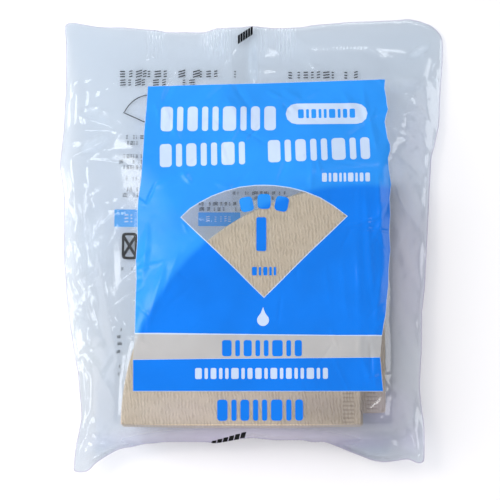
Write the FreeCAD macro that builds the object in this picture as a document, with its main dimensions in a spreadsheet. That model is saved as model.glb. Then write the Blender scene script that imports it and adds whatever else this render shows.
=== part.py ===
import FreeCAD, Part
import math
import os
import re
import Sketcher

# A retail pack of cone coffee filters, lying on its back with its printed side up.
# A clear film tube is sealed at both ends and along its back. It holds a stack of paper
# filters, each one a half disc of creped paper folded in half and crimped along one side.
# +X is the right of the printed side, +Y its top, +Z up. The origin is under the middle.

SIZES = {
    # film tube, seen from above
    "film_gauge": 0.1,
    "mouth_width": 164.0,
    "waist_width": 145.0,
    "ear_width": 149.0,
    "mouth_top": 98.0,
    "shoulder_place": 70.0,
    "waist_place": -66.0,
    "ear_bottom": -98.0,
    "ear_tip_width": 9.0,
    "corner_round": 9.0,
    "mouth_sag_round": 900.0,
    "side_sag_round": 1400.0,
    "side_margin": 4.0,
    "crease_rise": 6.5,
    "crease_tilt": 2.6,
    "floor_inset": 12.0,
    "film_lap": 0.6,
    "shoulder_drop": 1.2,
    # end seals and back fin
    "seal_width": 13.0,
    "seal_foot": 0.2,
    "knurl_pitch": 2.0,
    "knurl_rise": 0.2,
    "knurl_margin": 0.8,
    "turned_width": 104.0,
    "fin_width": 11.0,
    "fin_root": 2.0,
    "fin_step": 0.4,
    # paper filters
    "filter_side": 100.0,
    "ply_gauge": 0.125,
    "mouth_gap": 0.05,
    "fold_margin": 0.3,
    "seam_width": 5.0,
    "crimp_pitch": 1.7,
    "crimp_width": 0.8,
    "crimp_length": 4.0,
    "crimp_rise": 0.1,
    # how the stack lies in the bag
    "apex_right": 45.5,
    "apex_down": 79.3,
    "slip_right": 10.5,
    "slip_up": 6.5,
    "leaf_slip": 0.35,
    "film_clearance": 0.3,
    "edge_clearance": 1.6,
    "nose_reach": 3.4,
    # how many filters lie in each group
    "rear_count": 38,
    "front_count": 53,
    "loose_count": 9,
}

# Places worked out from the sizes above, as text that the sheet's cells feed.
SEAT = "(film_gauge * 3)"
LEAF = "(ply_gauge * 2)"
REAR_TOP = f"({SEAT} + rear_count * {LEAF})"
FRONT_TOP = f"({REAR_TOP} + front_count * {LEAF})"
LOOSE_LEAF = f"({LEAF} + mouth_gap)"
STACK_TOP = f"({FRONT_TOP} + loose_count * {LOOSE_LEAF})"
PACK_TOP = f"({STACK_TOP} + crimp_rise + film_clearance + film_gauge)"
FOLD_LINE = "(-apex_down)"
SLIP = "(sqrt(slip_right * slip_right + slip_up * slip_up) / 2)"
DRAPE_RADIUS = f"(filter_side + {SLIP} + edge_clearance)"
DRAPE_X = "(apex_right + slip_right / 2)"
DRAPE_Y = "(slip_up / 2 - apex_down)"
NOSE = "(-apex_down - edge_clearance - nose_reach)"
SEAL_LINE = "(mouth_top - seal_width)"

document = FreeCAD.newDocument("coffee_filter_pack")
sheet = document.addObject("Spreadsheet::Sheet", "sizes")
for row, (alias, number) in enumerate(SIZES.items(), start=1):
    sheet.set(f"A{row}", str(number))
    sheet.setAlias(f"A{row}", alias)
document.recompute()


def bound(text):
    """The text of an expression, with each size's name led to its cell in the sheet."""
    return re.sub(r"[a-z_]+", lambda word: f"sizes.{word[0]}" if word[0] in SIZES else word[0], text)


def value(text):
    """What an expression comes to with the sheet's numbers."""
    return float(sheet.evalExpression(bound(text)))


def set_size(item, prop, text):
    """Give a property its number now and bind it to the sheet for later."""
    item.setExpression(prop, bound(text))


def new_body(label):
    body = document.addObject("PartDesign::Body", label)
    body.Label = label
    return body


def plane_of(body, role):
    return next(item for item in body.Origin.OriginFeatures if item.Role == role)


def new_sketch(body, name, role="XY_Plane", offset="0"):
    """A sketch on one of the body's own origin planes, or parallel to it."""
    sketch = body.newObject("Sketcher::SketchObject", name)
    sketch.AttachmentSupport = [(plane_of(body, role), "")]
    sketch.MapMode = "FlatFace"
    if offset != "0":
        set_size(sketch, "AttachmentOffset.Base.z", offset)
    return sketch


def lean(sketch):
    """Turn a sketch about +X, so that it lies in the tilted plane of the creases or across it."""
    base = sketch.AttachmentOffset.Base
    angle = -value("crease_tilt")
    sketch.AttachmentOffset = FreeCAD.Placement(base, FreeCAD.Rotation(FreeCAD.Vector(1, 0, 0), angle))
    set_size(sketch, "AttachmentOffset.Rotation.Angle", "-crease_tilt")


def crease_sketch(body, name):
    """A sketch in the plane of the side creases, which climbs from the mouth to the stack's end."""
    sketch = new_sketch(body, name, offset="crease_rise")
    lean(sketch)
    return sketch


def chord_arc(start, end, radius):
    """The arc between two points: it bulges right of the way from start to end if radius > 0."""
    run_x, run_y = end[0] - start[0], end[1] - start[1]
    chord = math.hypot(run_x, run_y)
    reach = math.copysign(math.sqrt(radius * radius - chord * chord / 4), radius)
    middle_x = (start[0] + end[0]) / 2 - run_y / chord * reach
    middle_y = (start[1] + end[1]) / 2 + run_x / chord * reach
    first, last = (start, end) if radius > 0 else (end, start)
    from_angle = math.atan2(first[1] - middle_y, first[0] - middle_x)
    to_angle = math.atan2(last[1] - middle_y, last[0] - middle_x)
    if to_angle < from_angle:
        to_angle += 2 * math.pi
    circle = Part.Circle(FreeCAD.Vector(middle_x, middle_y, 0), FreeCAD.Vector(0, 0, 1), abs(radius))
    return Part.ArcOfCircle(circle, from_angle, to_angle)


def close_outline(sketch, corners, rounds=None):
    """Join corners, given anticlockwise as pairs of expressions, by lines and arcs.

    rounds gives the side that starts at a corner its radius: a pair of an expression
    and 1 where that side bulges out of the outline or -1 where it bulges into it.
    """
    rounds = rounds or {}
    points = [(value(across), value(along)) for across, along in corners]
    ends = []
    for index, start in enumerate(points):
        end = points[(index + 1) % len(points)]
        if index in rounds:
            radius, side = rounds[index]
            sketch.addGeometry(chord_arc(start, end, side * value(radius)), False)
            ends.append((1, 2) if side > 0 else (2, 1))
        else:
            start_point, end_point = FreeCAD.Vector(*start, 0), FreeCAD.Vector(*end, 0)
            sketch.addGeometry(Part.LineSegment(start_point, end_point), False)
            ends.append((1, 2))
    for index, (across, along) in enumerate(corners):
        before = index - 1 if index else len(corners) - 1
        sketch.addConstraint(
            Sketcher.Constraint("Coincident", before, ends[before][1], index, ends[index][0])
        )
        for kind, text, number in (
            ("DistanceX", across, points[index][0]),
            ("DistanceY", along, points[index][1]),
        ):
            place = sketch.addConstraint(
                Sketcher.Constraint(kind, -1, 1, index, ends[index][0], number)
            )
            set_size(sketch, f"Constraints[{place}]", text)
        if index in rounds:
            radius = rounds[index][0]
            place = sketch.addConstraint(Sketcher.Constraint("Radius", index, value(radius)))
            set_size(sketch, f"Constraints[{place}]", radius)
    return sketch


def pad(body, name, sketch, length, both_ways=False):
    feature = body.newObject("PartDesign::Pad", name)
    feature.Profile = sketch
    feature.Midplane = both_ways
    set_size(feature, "Length", length)
    return feature


def pocket(body, name, sketch, length, against=True):
    """Cut a sketch's outline upwards from its plane, or downwards with against False."""
    feature = body.newObject("PartDesign::Pocket", name)
    feature.Profile = sketch
    feature.Reversed = against
    set_size(feature, "Length", length)
    return feature


def loft(body, name, cut, sketches):
    kind = "PartDesign::SubtractiveLoft" if cut else "PartDesign::AdditiveLoft"
    feature = body.newObject(kind, name)
    feature.Profile = sketches[0]
    feature.Sections = sketches[1:]
    feature.Ruled = True
    return feature


def row_of(body, name, feature, sketch, axis, pitch, copies):
    """Repeat a feature along an axis of its sketch."""
    pattern = body.newObject("PartDesign::LinearPattern", name)
    pattern.Originals = [feature]
    pattern.Direction = (sketch, [axis])
    set_size(pattern, "Length", f"{pitch} * {copies - 1}")
    pattern.Occurrences = copies
    body.Tip = pattern
    return pattern


def box_corners(left, right, low, high):
    return [(left, low), (right, low), (right, high), (left, high)]


def film_outline(body, name):
    """The flat tube in plan: a wide mouth, a drawn-in waist and two ears at the bottom."""
    mouth, waist, ear = "mouth_width / 2", "waist_width / 2", "ear_width / 2"
    turned = "turned_width / 2"
    shoulder = "(mouth_top - corner_round)"
    corners = [
        (f"-{ear}", "ear_bottom"),
        (f"ear_tip_width - {ear}", "ear_bottom"),
        (f"-{turned}", NOSE),
        (turned, NOSE),
        (f"{ear} - ear_tip_width", "ear_bottom"),
        (ear, "ear_bottom"),
        (waist, "waist_place"),
        (mouth, "shoulder_place"),
        (mouth, shoulder),
        (f"{mouth} - corner_round", "mouth_top"),
        (f"corner_round - {mouth}", "mouth_top"),
        (f"-{mouth}", shoulder),
        (f"-{mouth}", "shoulder_place"),
        (f"-{waist}", "waist_place"),
    ]
    rounds = {
        6: ("side_sag_round", -1),
        8: ("corner_round", 1),
        9: ("mouth_sag_round", -1),
        10: ("corner_round", 1),
        12: ("side_sag_round", -1),
    }
    return close_outline(crease_sketch(body, name), corners, rounds)


def crease_outline(body, name, inset):
    """Where the two films part from each other: a four-sided line in the plane of the creases."""
    low = f"{NOSE} + {inset}"
    high = f"{SEAL_LINE} - {inset}"
    waist = f"(waist_width / 2 - side_margin - {inset})"
    mouth = f"(mouth_width / 2 - side_margin - {inset})"
    corners = [(f"-{waist}", low), (waist, low), (mouth, high), (f"-{mouth}", high)]
    return close_outline(crease_sketch(body, name), corners)


def drape_outline(body, name, inset, height):
    """The top of the stack under the film: a quarter disc that clears both groups of filters."""
    radius = f"({DRAPE_RADIUS} - {inset})"
    low = f"({FOLD_LINE} - edge_clearance + {inset})"
    right = f"(apex_right + slip_right + edge_clearance - {inset})"
    left = f"({DRAPE_X} - sqrt({radius} * {radius} - ({DRAPE_Y} - {low}) * ({DRAPE_Y} - {low})))"
    high = f"({DRAPE_Y} + sqrt({radius} * {radius} - ({right} - {DRAPE_X}) * ({right} - {DRAPE_X})))"
    corners = [
        (left, low),
        (right, low),
        (right, high),
        (f"{DRAPE_X} - {radius} * sqrt(0.5)", f"{DRAPE_Y} + {radius} * sqrt(0.5)"),
    ]
    rounds = {2: (radius, 1), 3: (radius, 1)}
    return close_outline(new_sketch(body, name, offset=height), corners, rounds)


def floor_outline(body, name, inset, height):
    """Where the back film touches the table."""
    low = f"{FOLD_LINE} - edge_clearance + {inset}"
    high = f"{SEAL_LINE} - floor_inset - {inset}"
    waist = f"(waist_width / 2 - floor_inset - {inset})"
    mouth = f"(mouth_width / 2 - floor_inset - {inset})"
    corners = [(f"-{waist}", low), (waist, low), (mouth, high), (f"-{mouth}", high)]
    return close_outline(new_sketch(body, name, offset=height), corners)


def knurl(body, name, sketch, across, length, width):
    """A strip of film pressed between serrated jaws: one fold of it, repeated over its width.

    across gives the strip's middle in the sketch, over which the folds swing both ways.
    """
    copies = int(value(width) // value("knurl_pitch"))
    first = f"(-knurl_pitch * {copies} / 2)"
    middle, last = f"({first} + knurl_pitch / 2)", f"({first} + knurl_pitch)"
    trough, crest = f"({across} - knurl_rise / 2)", f"({across} + knurl_rise / 2)"
    fold = [
        (first, f"{trough} - film_gauge"),
        (middle, f"{crest} - film_gauge"),
        (last, f"{trough} - film_gauge"),
        (last, f"{trough} + film_gauge"),
        (middle, f"{crest} + film_gauge"),
        (first, f"{trough} + film_gauge"),
    ]
    strip = pad(body, name, close_outline(sketch, fold), length)
    row_of(body, f"{name}_row", strip, sketch, "H_Axis", "knurl_pitch", copies)
    return strip


def make_skins(body):
    """Two tents of film back to back: one over the stack, one down to the table."""
    gauge, clear = "film_gauge", "(film_gauge + film_lap)"
    margins = pad(body, "flat_margins", film_outline(body, "tube_plan"), f"2 * {gauge}")
    margins.Midplane = True
    crease = crease_outline(body, "crease_line", "0")
    hip = drape_outline(body, "hip_line", "0", f"{PACK_TOP} - shoulder_drop")
    top = drape_outline(body, "top_line", "shoulder_drop", PACK_TOP)
    loft(body, "front_skin", False, [crease, hip, top])
    loft(body, "back_skin", False, [crease, floor_outline(body, "floor_line", "0", "0")])
    inner = crease_outline(body, "inner_crease_line", clear)
    inner_hip = drape_outline(body, "inner_hip_line", gauge, f"{PACK_TOP} - shoulder_drop - {gauge}")
    inner_top = drape_outline(body, "inner_top_line", f"(shoulder_drop + {gauge})", f"{PACK_TOP} - {gauge}")
    loft(body, "front_hollow", True, [inner, inner_hip, inner_top])
    loft(body, "back_hollow", True, [inner, floor_outline(body, "inner_floor_line", gauge, gauge)])


def make_back_fin(body):
    """The back seam: a fin turned to one side and pressed flat, with its free edge as a step."""
    low = f"{FOLD_LINE} + side_margin"
    high = f"{SEAL_LINE} - floor_inset - side_margin"
    edge = "(fin_root - fin_width)"
    plies = box_corners(f"{edge} - film_gauge", "fin_root", low, high)
    sketch = new_sketch(body, "fin_plan", offset="film_gauge")
    pad(body, "back_fin", close_outline(sketch, plies), "2 * film_gauge")
    step = box_corners(edge, f"{edge} + fin_step", low, high)
    pocket(body, "fin_edge", close_outline(new_sketch(body, "fin_edge_plan"), step), "2 * film_gauge")


def make_end_seals(body):
    """The mouth's flat seal, and the bottom seal that is turned down in front of the stack."""
    half = "(mouth_width / 2 - corner_round)"
    sag = f"(mouth_sag_round - sqrt(mouth_sag_round * mouth_sag_round - {half} * {half}))"
    low = f"({SEAL_LINE} + knurl_margin)"
    length = f"(seal_width - {sag} - 2 * knurl_margin)"
    sketch = new_sketch(body, "mouth_fold", role="XZ_Plane", offset=f"-{low}")
    set_size(sketch, "AttachmentOffset.Base.y", f"crease_rise - {low} * tan(crease_tilt)")
    lean(sketch)
    strip = knurl(body, "mouth_knurl", sketch, "0", length, f"2 * {half}")
    strip.Reversed = True

    sketch = new_sketch(body, "turned_fold", offset="seal_foot")
    height = f"(crease_rise - {NOSE} * tan(crease_tilt) + film_gauge - seal_foot)"
    knurl(body, "turned_knurl", sketch, NOSE, height, "turned_width")


def make_film_bag():
    """The printed film tube: two skins that part over the stack, with flat seals round them."""
    body = new_body("film_bag")
    make_skins(body)
    make_back_fin(body)
    make_end_seals(body)
    return body


def make_sector(body, name, offset, height, apex_x, apex_y):
    """A filter's outline: a quarter disc with its point at the lower right."""
    corners = [
        (f"{apex_x} - filter_side", apex_y),
        (apex_x, apex_y),
        (apex_x, f"{apex_y} + filter_side"),
    ]
    sketch = new_sketch(body, f"{name}_plan", offset=offset)
    close_outline(sketch, corners, {2: ("filter_side", 1)})
    return pad(body, name, sketch, height)


def make_loose_filter(number):
    """One filter: two plies joined by the fold at the bottom and the crimped seam at the right."""
    body = new_body(f"filter_{number:02d}")
    side = (number * 2) % 3 - 1
    rise = (number * 4) % 5 - 2
    apex_x = f"(apex_right + {side} * leaf_slip)"
    apex_y = f"({FOLD_LINE} + {rise} * leaf_slip / 2)"
    base = f"({FRONT_TOP} + {number - 1} * {LOOSE_LEAF})"
    make_sector(body, "plies", base, LOOSE_LEAF, apex_x, apex_y)
    inside = box_corners(
        f"{apex_x} - filter_side - seam_width",
        f"{apex_x} - seam_width",
        f"{apex_y} + fold_margin",
        f"{apex_y} + filter_side + seam_width",
    )
    inside_sketch = close_outline(new_sketch(body, "inside_plan", offset=f"{base} + ply_gauge"), inside)
    pocket(body, "inside", inside_sketch, "mouth_gap")
    if number == int(value("loose_count")):
        add_crimps(body, f"{base} + {LOOSE_LEAF}", apex_x, apex_y)
    return body


def add_crimps(body, top, apex_x, apex_y):
    """The row of pressed ribs that holds the two plies together along the seam."""
    low = f"{apex_y} + crimp_pitch"
    left = f"{apex_x} - (seam_width + crimp_length) / 2"
    rib = box_corners(left, f"{left} + crimp_length", low, f"{low} + crimp_width")
    sketch = close_outline(new_sketch(body, "crimp_plan", offset=top), rib)
    crimp = pad(body, "crimp", sketch, "crimp_rise")
    copies = int(value("filter_side") // value("crimp_pitch")) - 3
    row_of(body, "crimps", crimp, sketch, "V_Axis", "crimp_pitch", copies)


def make_pressed_stack(label, base, leaves, apex_x, apex_y):
    """Filters that lie pressed together, as one block of paper."""
    body = new_body(label)
    make_sector(body, "leaves", base, f"{leaves} * {LEAF}", apex_x, apex_y)
    return body


def check_and_write(bodies):
    document.recompute()
    for item in document.Objects:
        if "Invalid" in item.State or "Error" in item.State:
            raise RuntimeError(f"{item.Name} did not build: {item.State}")
    for body in bodies:
        shape = body.Shape
        if shape.isNull() or not shape.isValid() or len(shape.Solids) != 1:
            raise RuntimeError(f"{body.Label} is not one closed solid")
    os.makedirs("parts", exist_ok=True)
    for body in bodies:
        body.Shape.exportStep(f"parts/{body.Label}.step")
        print(body.Label, round(body.Shape.Volume, 1), body.Shape.BoundBox)


rear_x, rear_y = "(apex_right + slip_right)", f"({FOLD_LINE} + slip_up)"
bodies = [
    make_film_bag(),
    make_pressed_stack("rear_stack", SEAT, "rear_count", rear_x, rear_y),
    make_pressed_stack("front_stack", REAR_TOP, "front_count", "apex_right", FOLD_LINE),
]
for place in range(1, int(value("loose_count")) + 1):
    bodies.append(make_loose_filter(place))
check_and_write(bodies)
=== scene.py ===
"""A sealed pack of paper cone filters lying on its back, seen from above.

The pack is a clear film pillow bag with blue print, crumpled round a stack of filters that
are folded flat into quarter discs. Lengths in the classes below are millimetres; meshes are
written in metres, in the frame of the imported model.
"""

import logging
import math
from dataclasses import dataclass
from enum import Enum

import bpy
import numpy as np
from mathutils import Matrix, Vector
from mathutils.bvhtree import BVHTree
from mathutils.geometry import delaunay_2d_cdt

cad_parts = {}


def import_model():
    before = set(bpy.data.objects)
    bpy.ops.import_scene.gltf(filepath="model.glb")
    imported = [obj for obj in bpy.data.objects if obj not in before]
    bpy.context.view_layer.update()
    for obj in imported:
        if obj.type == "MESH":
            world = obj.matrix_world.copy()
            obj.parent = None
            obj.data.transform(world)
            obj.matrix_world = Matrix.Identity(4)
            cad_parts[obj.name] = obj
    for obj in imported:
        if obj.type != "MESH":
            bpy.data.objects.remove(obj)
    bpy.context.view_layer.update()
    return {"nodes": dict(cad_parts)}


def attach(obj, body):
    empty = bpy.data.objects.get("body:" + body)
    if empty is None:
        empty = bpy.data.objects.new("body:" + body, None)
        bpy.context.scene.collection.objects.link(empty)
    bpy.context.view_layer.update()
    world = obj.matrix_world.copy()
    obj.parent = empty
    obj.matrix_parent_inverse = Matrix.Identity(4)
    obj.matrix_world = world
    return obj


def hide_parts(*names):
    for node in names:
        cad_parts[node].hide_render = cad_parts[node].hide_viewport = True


LOG = logging.getLogger("filter_pack")
MM = 0.001
SEED = 2024

Node = bpy.types.Node
Socket = bpy.types.NodeSocket
Tree = bpy.types.NodeTree


def hex_to_linear(code: str) -> tuple[float, float, float, float]:
    """Turn an sRGB hex colour into linear values.

    Args:
        code: The colour as six hex digits, with or without a hash sign.

    Returns:
        Red, green, blue and an alpha of one.
    """
    digits = code.lstrip("#")
    parts = [int(digits[place:place + 2], 16) / 255 for place in (0, 2, 4)]
    red, green, blue = (
        part / 12.92 if part <= 0.04045 else ((part + 0.055) / 1.055) ** 2.4 for part in parts
    )
    return red, green, blue, 1.0


def add_node(tree: Tree, kind: str, inputs: dict | None = None, **settings: object) -> Node:
    """Add a shader node with its settings and links.

    Args:
        tree: The node tree that gets the node.
        kind: The node's type name without its first word, ShaderNode.
        inputs: Input sockets by name or place. Each has a value, the socket that feeds it, or
            the node whose first output feeds it.
        **settings: Properties of the node itself.

    Returns:
        The new node.
    """
    node = tree.nodes.new(f"ShaderNode{kind}")
    for name, value in settings.items():
        setattr(node, name, value)
    for place, value in (inputs or {}).items():
        feed = value.outputs[0] if isinstance(value, Node) else value
        if isinstance(feed, Socket):
            tree.links.new(feed, node.inputs[place])
        else:
            node.inputs[place].default_value = feed
    return node


def smooth_step(values: np.ndarray, low: float, high: float) -> np.ndarray:
    """Ease from 0 to 1.

    Args:
        values: The values to ease by.
        low: Where the result is 0, and below.
        high: Where it is 1, and above.

    Returns:
        One share a value.
    """
    share = np.clip((values - low) / (high - low), 0.0, 1.0)
    return share * share * (3 - 2 * share)


# the bag's outline in plan, clockwise from the top left corner: a straight wide mouth,
# sides drawn in over the stack, two free ears at the bottom and the turned seal between them.
OUTLINE = (
    (-81.4, 96.4), (-78.8, 97.3), (-73.5, 96.4), (-68.3, 95.5), (-63, 95), (-57.8, 95),
    (-52.6, 94.6), (-47.3, 94.1), (-42.1, 93.7), (-36.9, 92.8), (-29, 92.8), (-21.2, 92.8),
    (-16, 94.4), (-10.7, 94.8), (-5.5, 95), (-0.3, 95.5), (4.9, 95), (10.2, 94.6), (20.6, 95),
    (25.9, 95.9), (31.1, 96.4), (36.3, 96.8), (41.6, 97.3), (52, 97.7), (62.5, 98.2),
    (67.7, 98.7), (72.1, 98), (75.6, 96.8), (78.6, 95.3), (82, 91.4), (82.8, 86.9), (82.5, 78),
    (81.7, 69), (81.1, 60.1), (80.6, 51.2), (79.6, 46.8), (78.7, 42.4), (77.4, 37.9),
    (76.9, 33.5), (76.3, 24.7), (75.8, 16), (75.2, 7.2), (74.7, -1.5), (74.1, -10.2),
    (73.6, -18.9), (73.1, -23.2), (72.6, -27.5), (72.1, -31.8), (71.9, -44.7), (71.4, -53.2),
    (70.9, -61.8), (71.2, -68.2), (71.6, -72.4), (72.3, -77.5), (72.5, -83), (72.4, -89.3),
    (72.1, -93.9), (69.6, -94.8), (65.4, -93.3), (60.3, -93.9), (55.3, -94.4), (50.2, -93.5),
    (45.2, -91.6), (40.2, -89.7), (35.1, -87.6), (30.1, -85.9), (25, -85.9), (20, -85.1),
    (9.8, -85.1), (4.8, -84.7), (-0.3, -84.2), (-5.3, -84.7), (-15.5, -86.4), (-20.5, -85.9),
    (-35.7, -85.9), (-40.8, -86.4), (-45.8, -86.8), (-50.9, -88), (-55.9, -88.9),
    (-60.9, -91.4), (-66, -94.8), (-68.4, -97.3), (-71, -98.6), (-75.2, -98.1),
    (-75.2, -94.4), (-74.9, -89.3), (-74.1, -85.1), (-73.3, -80.9), (-72.5, -75.4),
    (-73, -68.2), (-73.5, -63.9), (-74, -57.5), (-75.4, -50.3), (-76.3, -44.7),
    (-77.3, -39.5), (-78.2, -33.1), (-79.2, -25.3), (-79.7, -18.9), (-80.2, -13.2),
    (-80.7, -5.9), (-81, 11.6), (-81.3, 20.3), (-82.5, 29.1), (-83, 33.5), (-82.7, 37.9),
    (-82.1, 44.6), (-81.6, 51.2), (-81.3, 60.1), (-81, 69), (-81.2, 82.5), (-81.5, 89.2),
    (-82, 94.6),
)


def round_line(points: np.ndarray, spacing: float) -> np.ndarray:
    """Run a smooth closed line through points.

    Args:
        points: The points that it passes, one row each.
        spacing: About how far apart the returned points lie.

    Returns:
        Points along the line, evenly spaced.
    """
    before, after = np.roll(points, 1, axis=0), np.roll(points, -1, axis=0)
    last = np.roll(points, -2, axis=0)
    share = np.linspace(0, 1, 12, endpoint=False)[None, :, None]
    start, end = points[:, None, :], after[:, None, :]
    lead, trail = (end - before[:, None, :]) / 2, (last[:, None, :] - start) / 2
    dense = (
        (2 * share**3 - 3 * share**2 + 1) * start
        + (share**3 - 2 * share**2 + share) * lead
        + (-2 * share**3 + 3 * share**2) * end
        + (share**3 - share**2) * trail
    ).reshape(-1, 2)
    closed = np.vstack([dense, dense[:1]])
    along = np.concatenate([[0], np.cumsum(np.linalg.norm(np.diff(closed, axis=0), axis=1))])
    places = np.linspace(0, along[-1], int(along[-1] / spacing), endpoint=False)
    return np.column_stack([np.interp(places, along, closed[:, axis]) for axis in (0, 1)])


def inside(points: np.ndarray, outline: np.ndarray) -> np.ndarray:
    """Tell which points lie in a closed outline.

    Args:
        points: Places in plan, one row each.
        outline: The outline's corners in order.

    Returns:
        One truth value a point.
    """
    result = np.zeros(len(points), bool)
    low, high = outline.min(axis=0), outline.max(axis=0)
    near = np.flatnonzero(np.all((points >= low) & (points <= high), axis=1))
    across, along = points[near, 0], points[near, 1]
    count = np.zeros(len(near), bool)
    for start, end in zip(outline, np.roll(outline, -1, axis=0)):
        if start[1] == end[1]:
            continue
        crosses = (start[1] > along) != (end[1] > along)
        where = start[0] + (along - start[1]) / (end[1] - start[1]) * (end[0] - start[0])
        count ^= crosses & (across < where)
    result[near] = count
    return result


class Lattice:
    """A field of heights on a regular grid, read smoothly between its points."""

    STEP = 1.0
    HALF_X = 90.0
    HALF_Y = 106.0
    PROBE_FROM = 100 * MM

    def __init__(self) -> None:
        """Lay out the grid's points."""
        self.columns = int(2 * self.HALF_X / self.STEP) + 1
        self.rows = int(2 * self.HALF_Y / self.STEP) + 1
        across = np.linspace(-self.HALF_X, self.HALF_X, self.columns)
        along = np.linspace(-self.HALF_Y, self.HALF_Y, self.rows)
        self.x, self.y = np.meshgrid(across, along)

    def points(self) -> np.ndarray:
        """Every grid point as a row."""
        return np.column_stack([self.x.ravel(), self.y.ravel()])

    def read(self, heights: np.ndarray, points: np.ndarray) -> np.ndarray:
        """Read a field between its grid points with a cubic spline.

        Args:
            heights: The field, one value a grid point.
            points: Places in plan.

        Returns:
            The field's value at each place.
        """
        across = (points[:, 0] + self.HALF_X) / self.STEP
        along = (points[:, 1] + self.HALF_Y) / self.STEP
        column, row = np.floor(across).astype(int), np.floor(along).astype(int)
        result = np.zeros(len(points))
        for down, row_weight in enumerate(self._weights(along - row), start=-1):
            for right, column_weight in enumerate(self._weights(across - column), start=-1):
                values = heights[
                    np.clip(row + down, 0, self.rows - 1),
                    np.clip(column + right, 0, self.columns - 1),
                ]
                result += values * row_weight * column_weight
        return result

    @staticmethod
    def _weights(share: np.ndarray) -> tuple[np.ndarray, ...]:
        """The four weights of a cubic B-spline."""
        return (
            (1 - share) ** 3 / 6,
            (3 * share**3 - 6 * share**2 + 4) / 6,
            (-3 * share**3 + 3 * share**2 + 3 * share + 1) / 6,
            share**3 / 6,
        )

    def probe(self, node: bpy.types.Object, from_above: bool, missing: np.ndarray) -> np.ndarray:
        """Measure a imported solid's upper or lower face over the grid.

        Args:
            node: The solid's object.
            from_above: Measure its upper face, else its lower one.
            missing: The heights to use where the solid isn't.

        Returns:
            Heights in millimetres, one a grid point.
        """
        tree = BVHTree.FromPolygons(
            [vertex.co for vertex in node.data.vertices],
            [face.vertices for face in node.data.polygons],
        )
        way = -1.0 if from_above else 1.0
        heights = missing.copy()
        for row in range(self.rows):
            for column in range(self.columns):
                x, y = self.x[row, column] * MM, self.y[row, column] * MM
                start = Vector((x, y, -way * self.PROBE_FROM))
                hit = tree.ray_cast(start, Vector((0, 0, way)))[0]
                if hit is not None:
                    heights[row, column] = hit.z / MM
        return heights

    def blur(self, heights: np.ndarray, width: float) -> np.ndarray:
        """Round a field off.

        Args:
            heights: The field, one value a grid point.
            width: How wide the rounding is, in millimetres.

        Returns:
            The rounded field.
        """
        reach = int(3 * width / self.STEP)
        places = np.arange(-reach, reach + 1) * self.STEP
        weights = np.exp(-((places / width) ** 2) / 2)
        weights /= weights.sum()
        for axis in (0, 1):
            margins = [(reach, reach) if way == axis else (0, 0) for way in (0, 1)]
            padded = np.pad(heights, margins, mode="edge")
            total = sum(
                weight * np.roll(padded, reach - place, axis=axis)
                for place, weight in enumerate(weights)
            )
            heights = total[reach:-reach, :] if axis == 0 else total[:, reach:-reach]
        return heights


@dataclass(frozen=True)
class Crease:
    """One fold line in the film, straight in plan, which fades out at both ends."""

    start: tuple[float, float]
    end: tuple[float, float]
    height: float
    width: float

    def heights(self, points: np.ndarray) -> np.ndarray:
        """How far the crease lifts the film at each place.

        Args:
            points: Places in plan.

        Returns:
            The lift in millimetres, which is negative for a valley.
        """
        first, last = np.array(self.start), np.array(self.end)
        length = np.linalg.norm(last - first)
        way = (last - first) / length
        offset = points - first
        along = offset @ way / length
        across = np.abs(offset @ np.array([-way[1], way[0]]))
        fade = smooth_step(along, 0.0, 0.35) * (1 - smooth_step(along, 0.65, 1.0))
        narrow = self.width * (0.35 + 0.65 * fade)
        tent = np.clip(1 - across / narrow, 0, None)
        return self.height * fade * tent**1.3


@dataclass(frozen=True)
class Stack:
    """How the folded filters lie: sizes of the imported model's solids."""

    side: float = 100.0
    apex: tuple[float, float] = (45.5, -79.3)
    slip: tuple[float, float] = (10.5, 6.5)
    seat: float = 0.3
    leaf: float = 0.25
    loose_leaf: float = 0.3
    rear_count: int = 38
    front_count: int = 53
    loose_count: int = 9

    @property
    def rear_top(self) -> float:
        """The height where the slipped group ends."""
        return self.seat + self.rear_count * self.leaf

    @property
    def front_top(self) -> float:
        """The height where the pressed group ends."""
        return self.rear_top + self.front_count * self.leaf

    @property
    def top(self) -> float:
        """The height of the uppermost filter's face."""
        return self.front_top + self.loose_count * self.loose_leaf

    def covers(self, points: np.ndarray, margin: float, rear: bool = False) -> np.ndarray:
        """Tell which places lie over the filters.

        Args:
            points: Places in plan.
            margin: How much wider than the paper to count.
            rear: Ask about the slipped group.

        Returns:
            One truth value a place.
        """
        shift = np.array(self.slip) if rear else np.zeros(2)
        offset = points - np.array(self.apex) - shift
        near = np.linalg.norm(offset, axis=1) <= self.side + margin
        return near & (offset[:, 0] <= margin) & (offset[:, 1] >= -margin)


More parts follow.
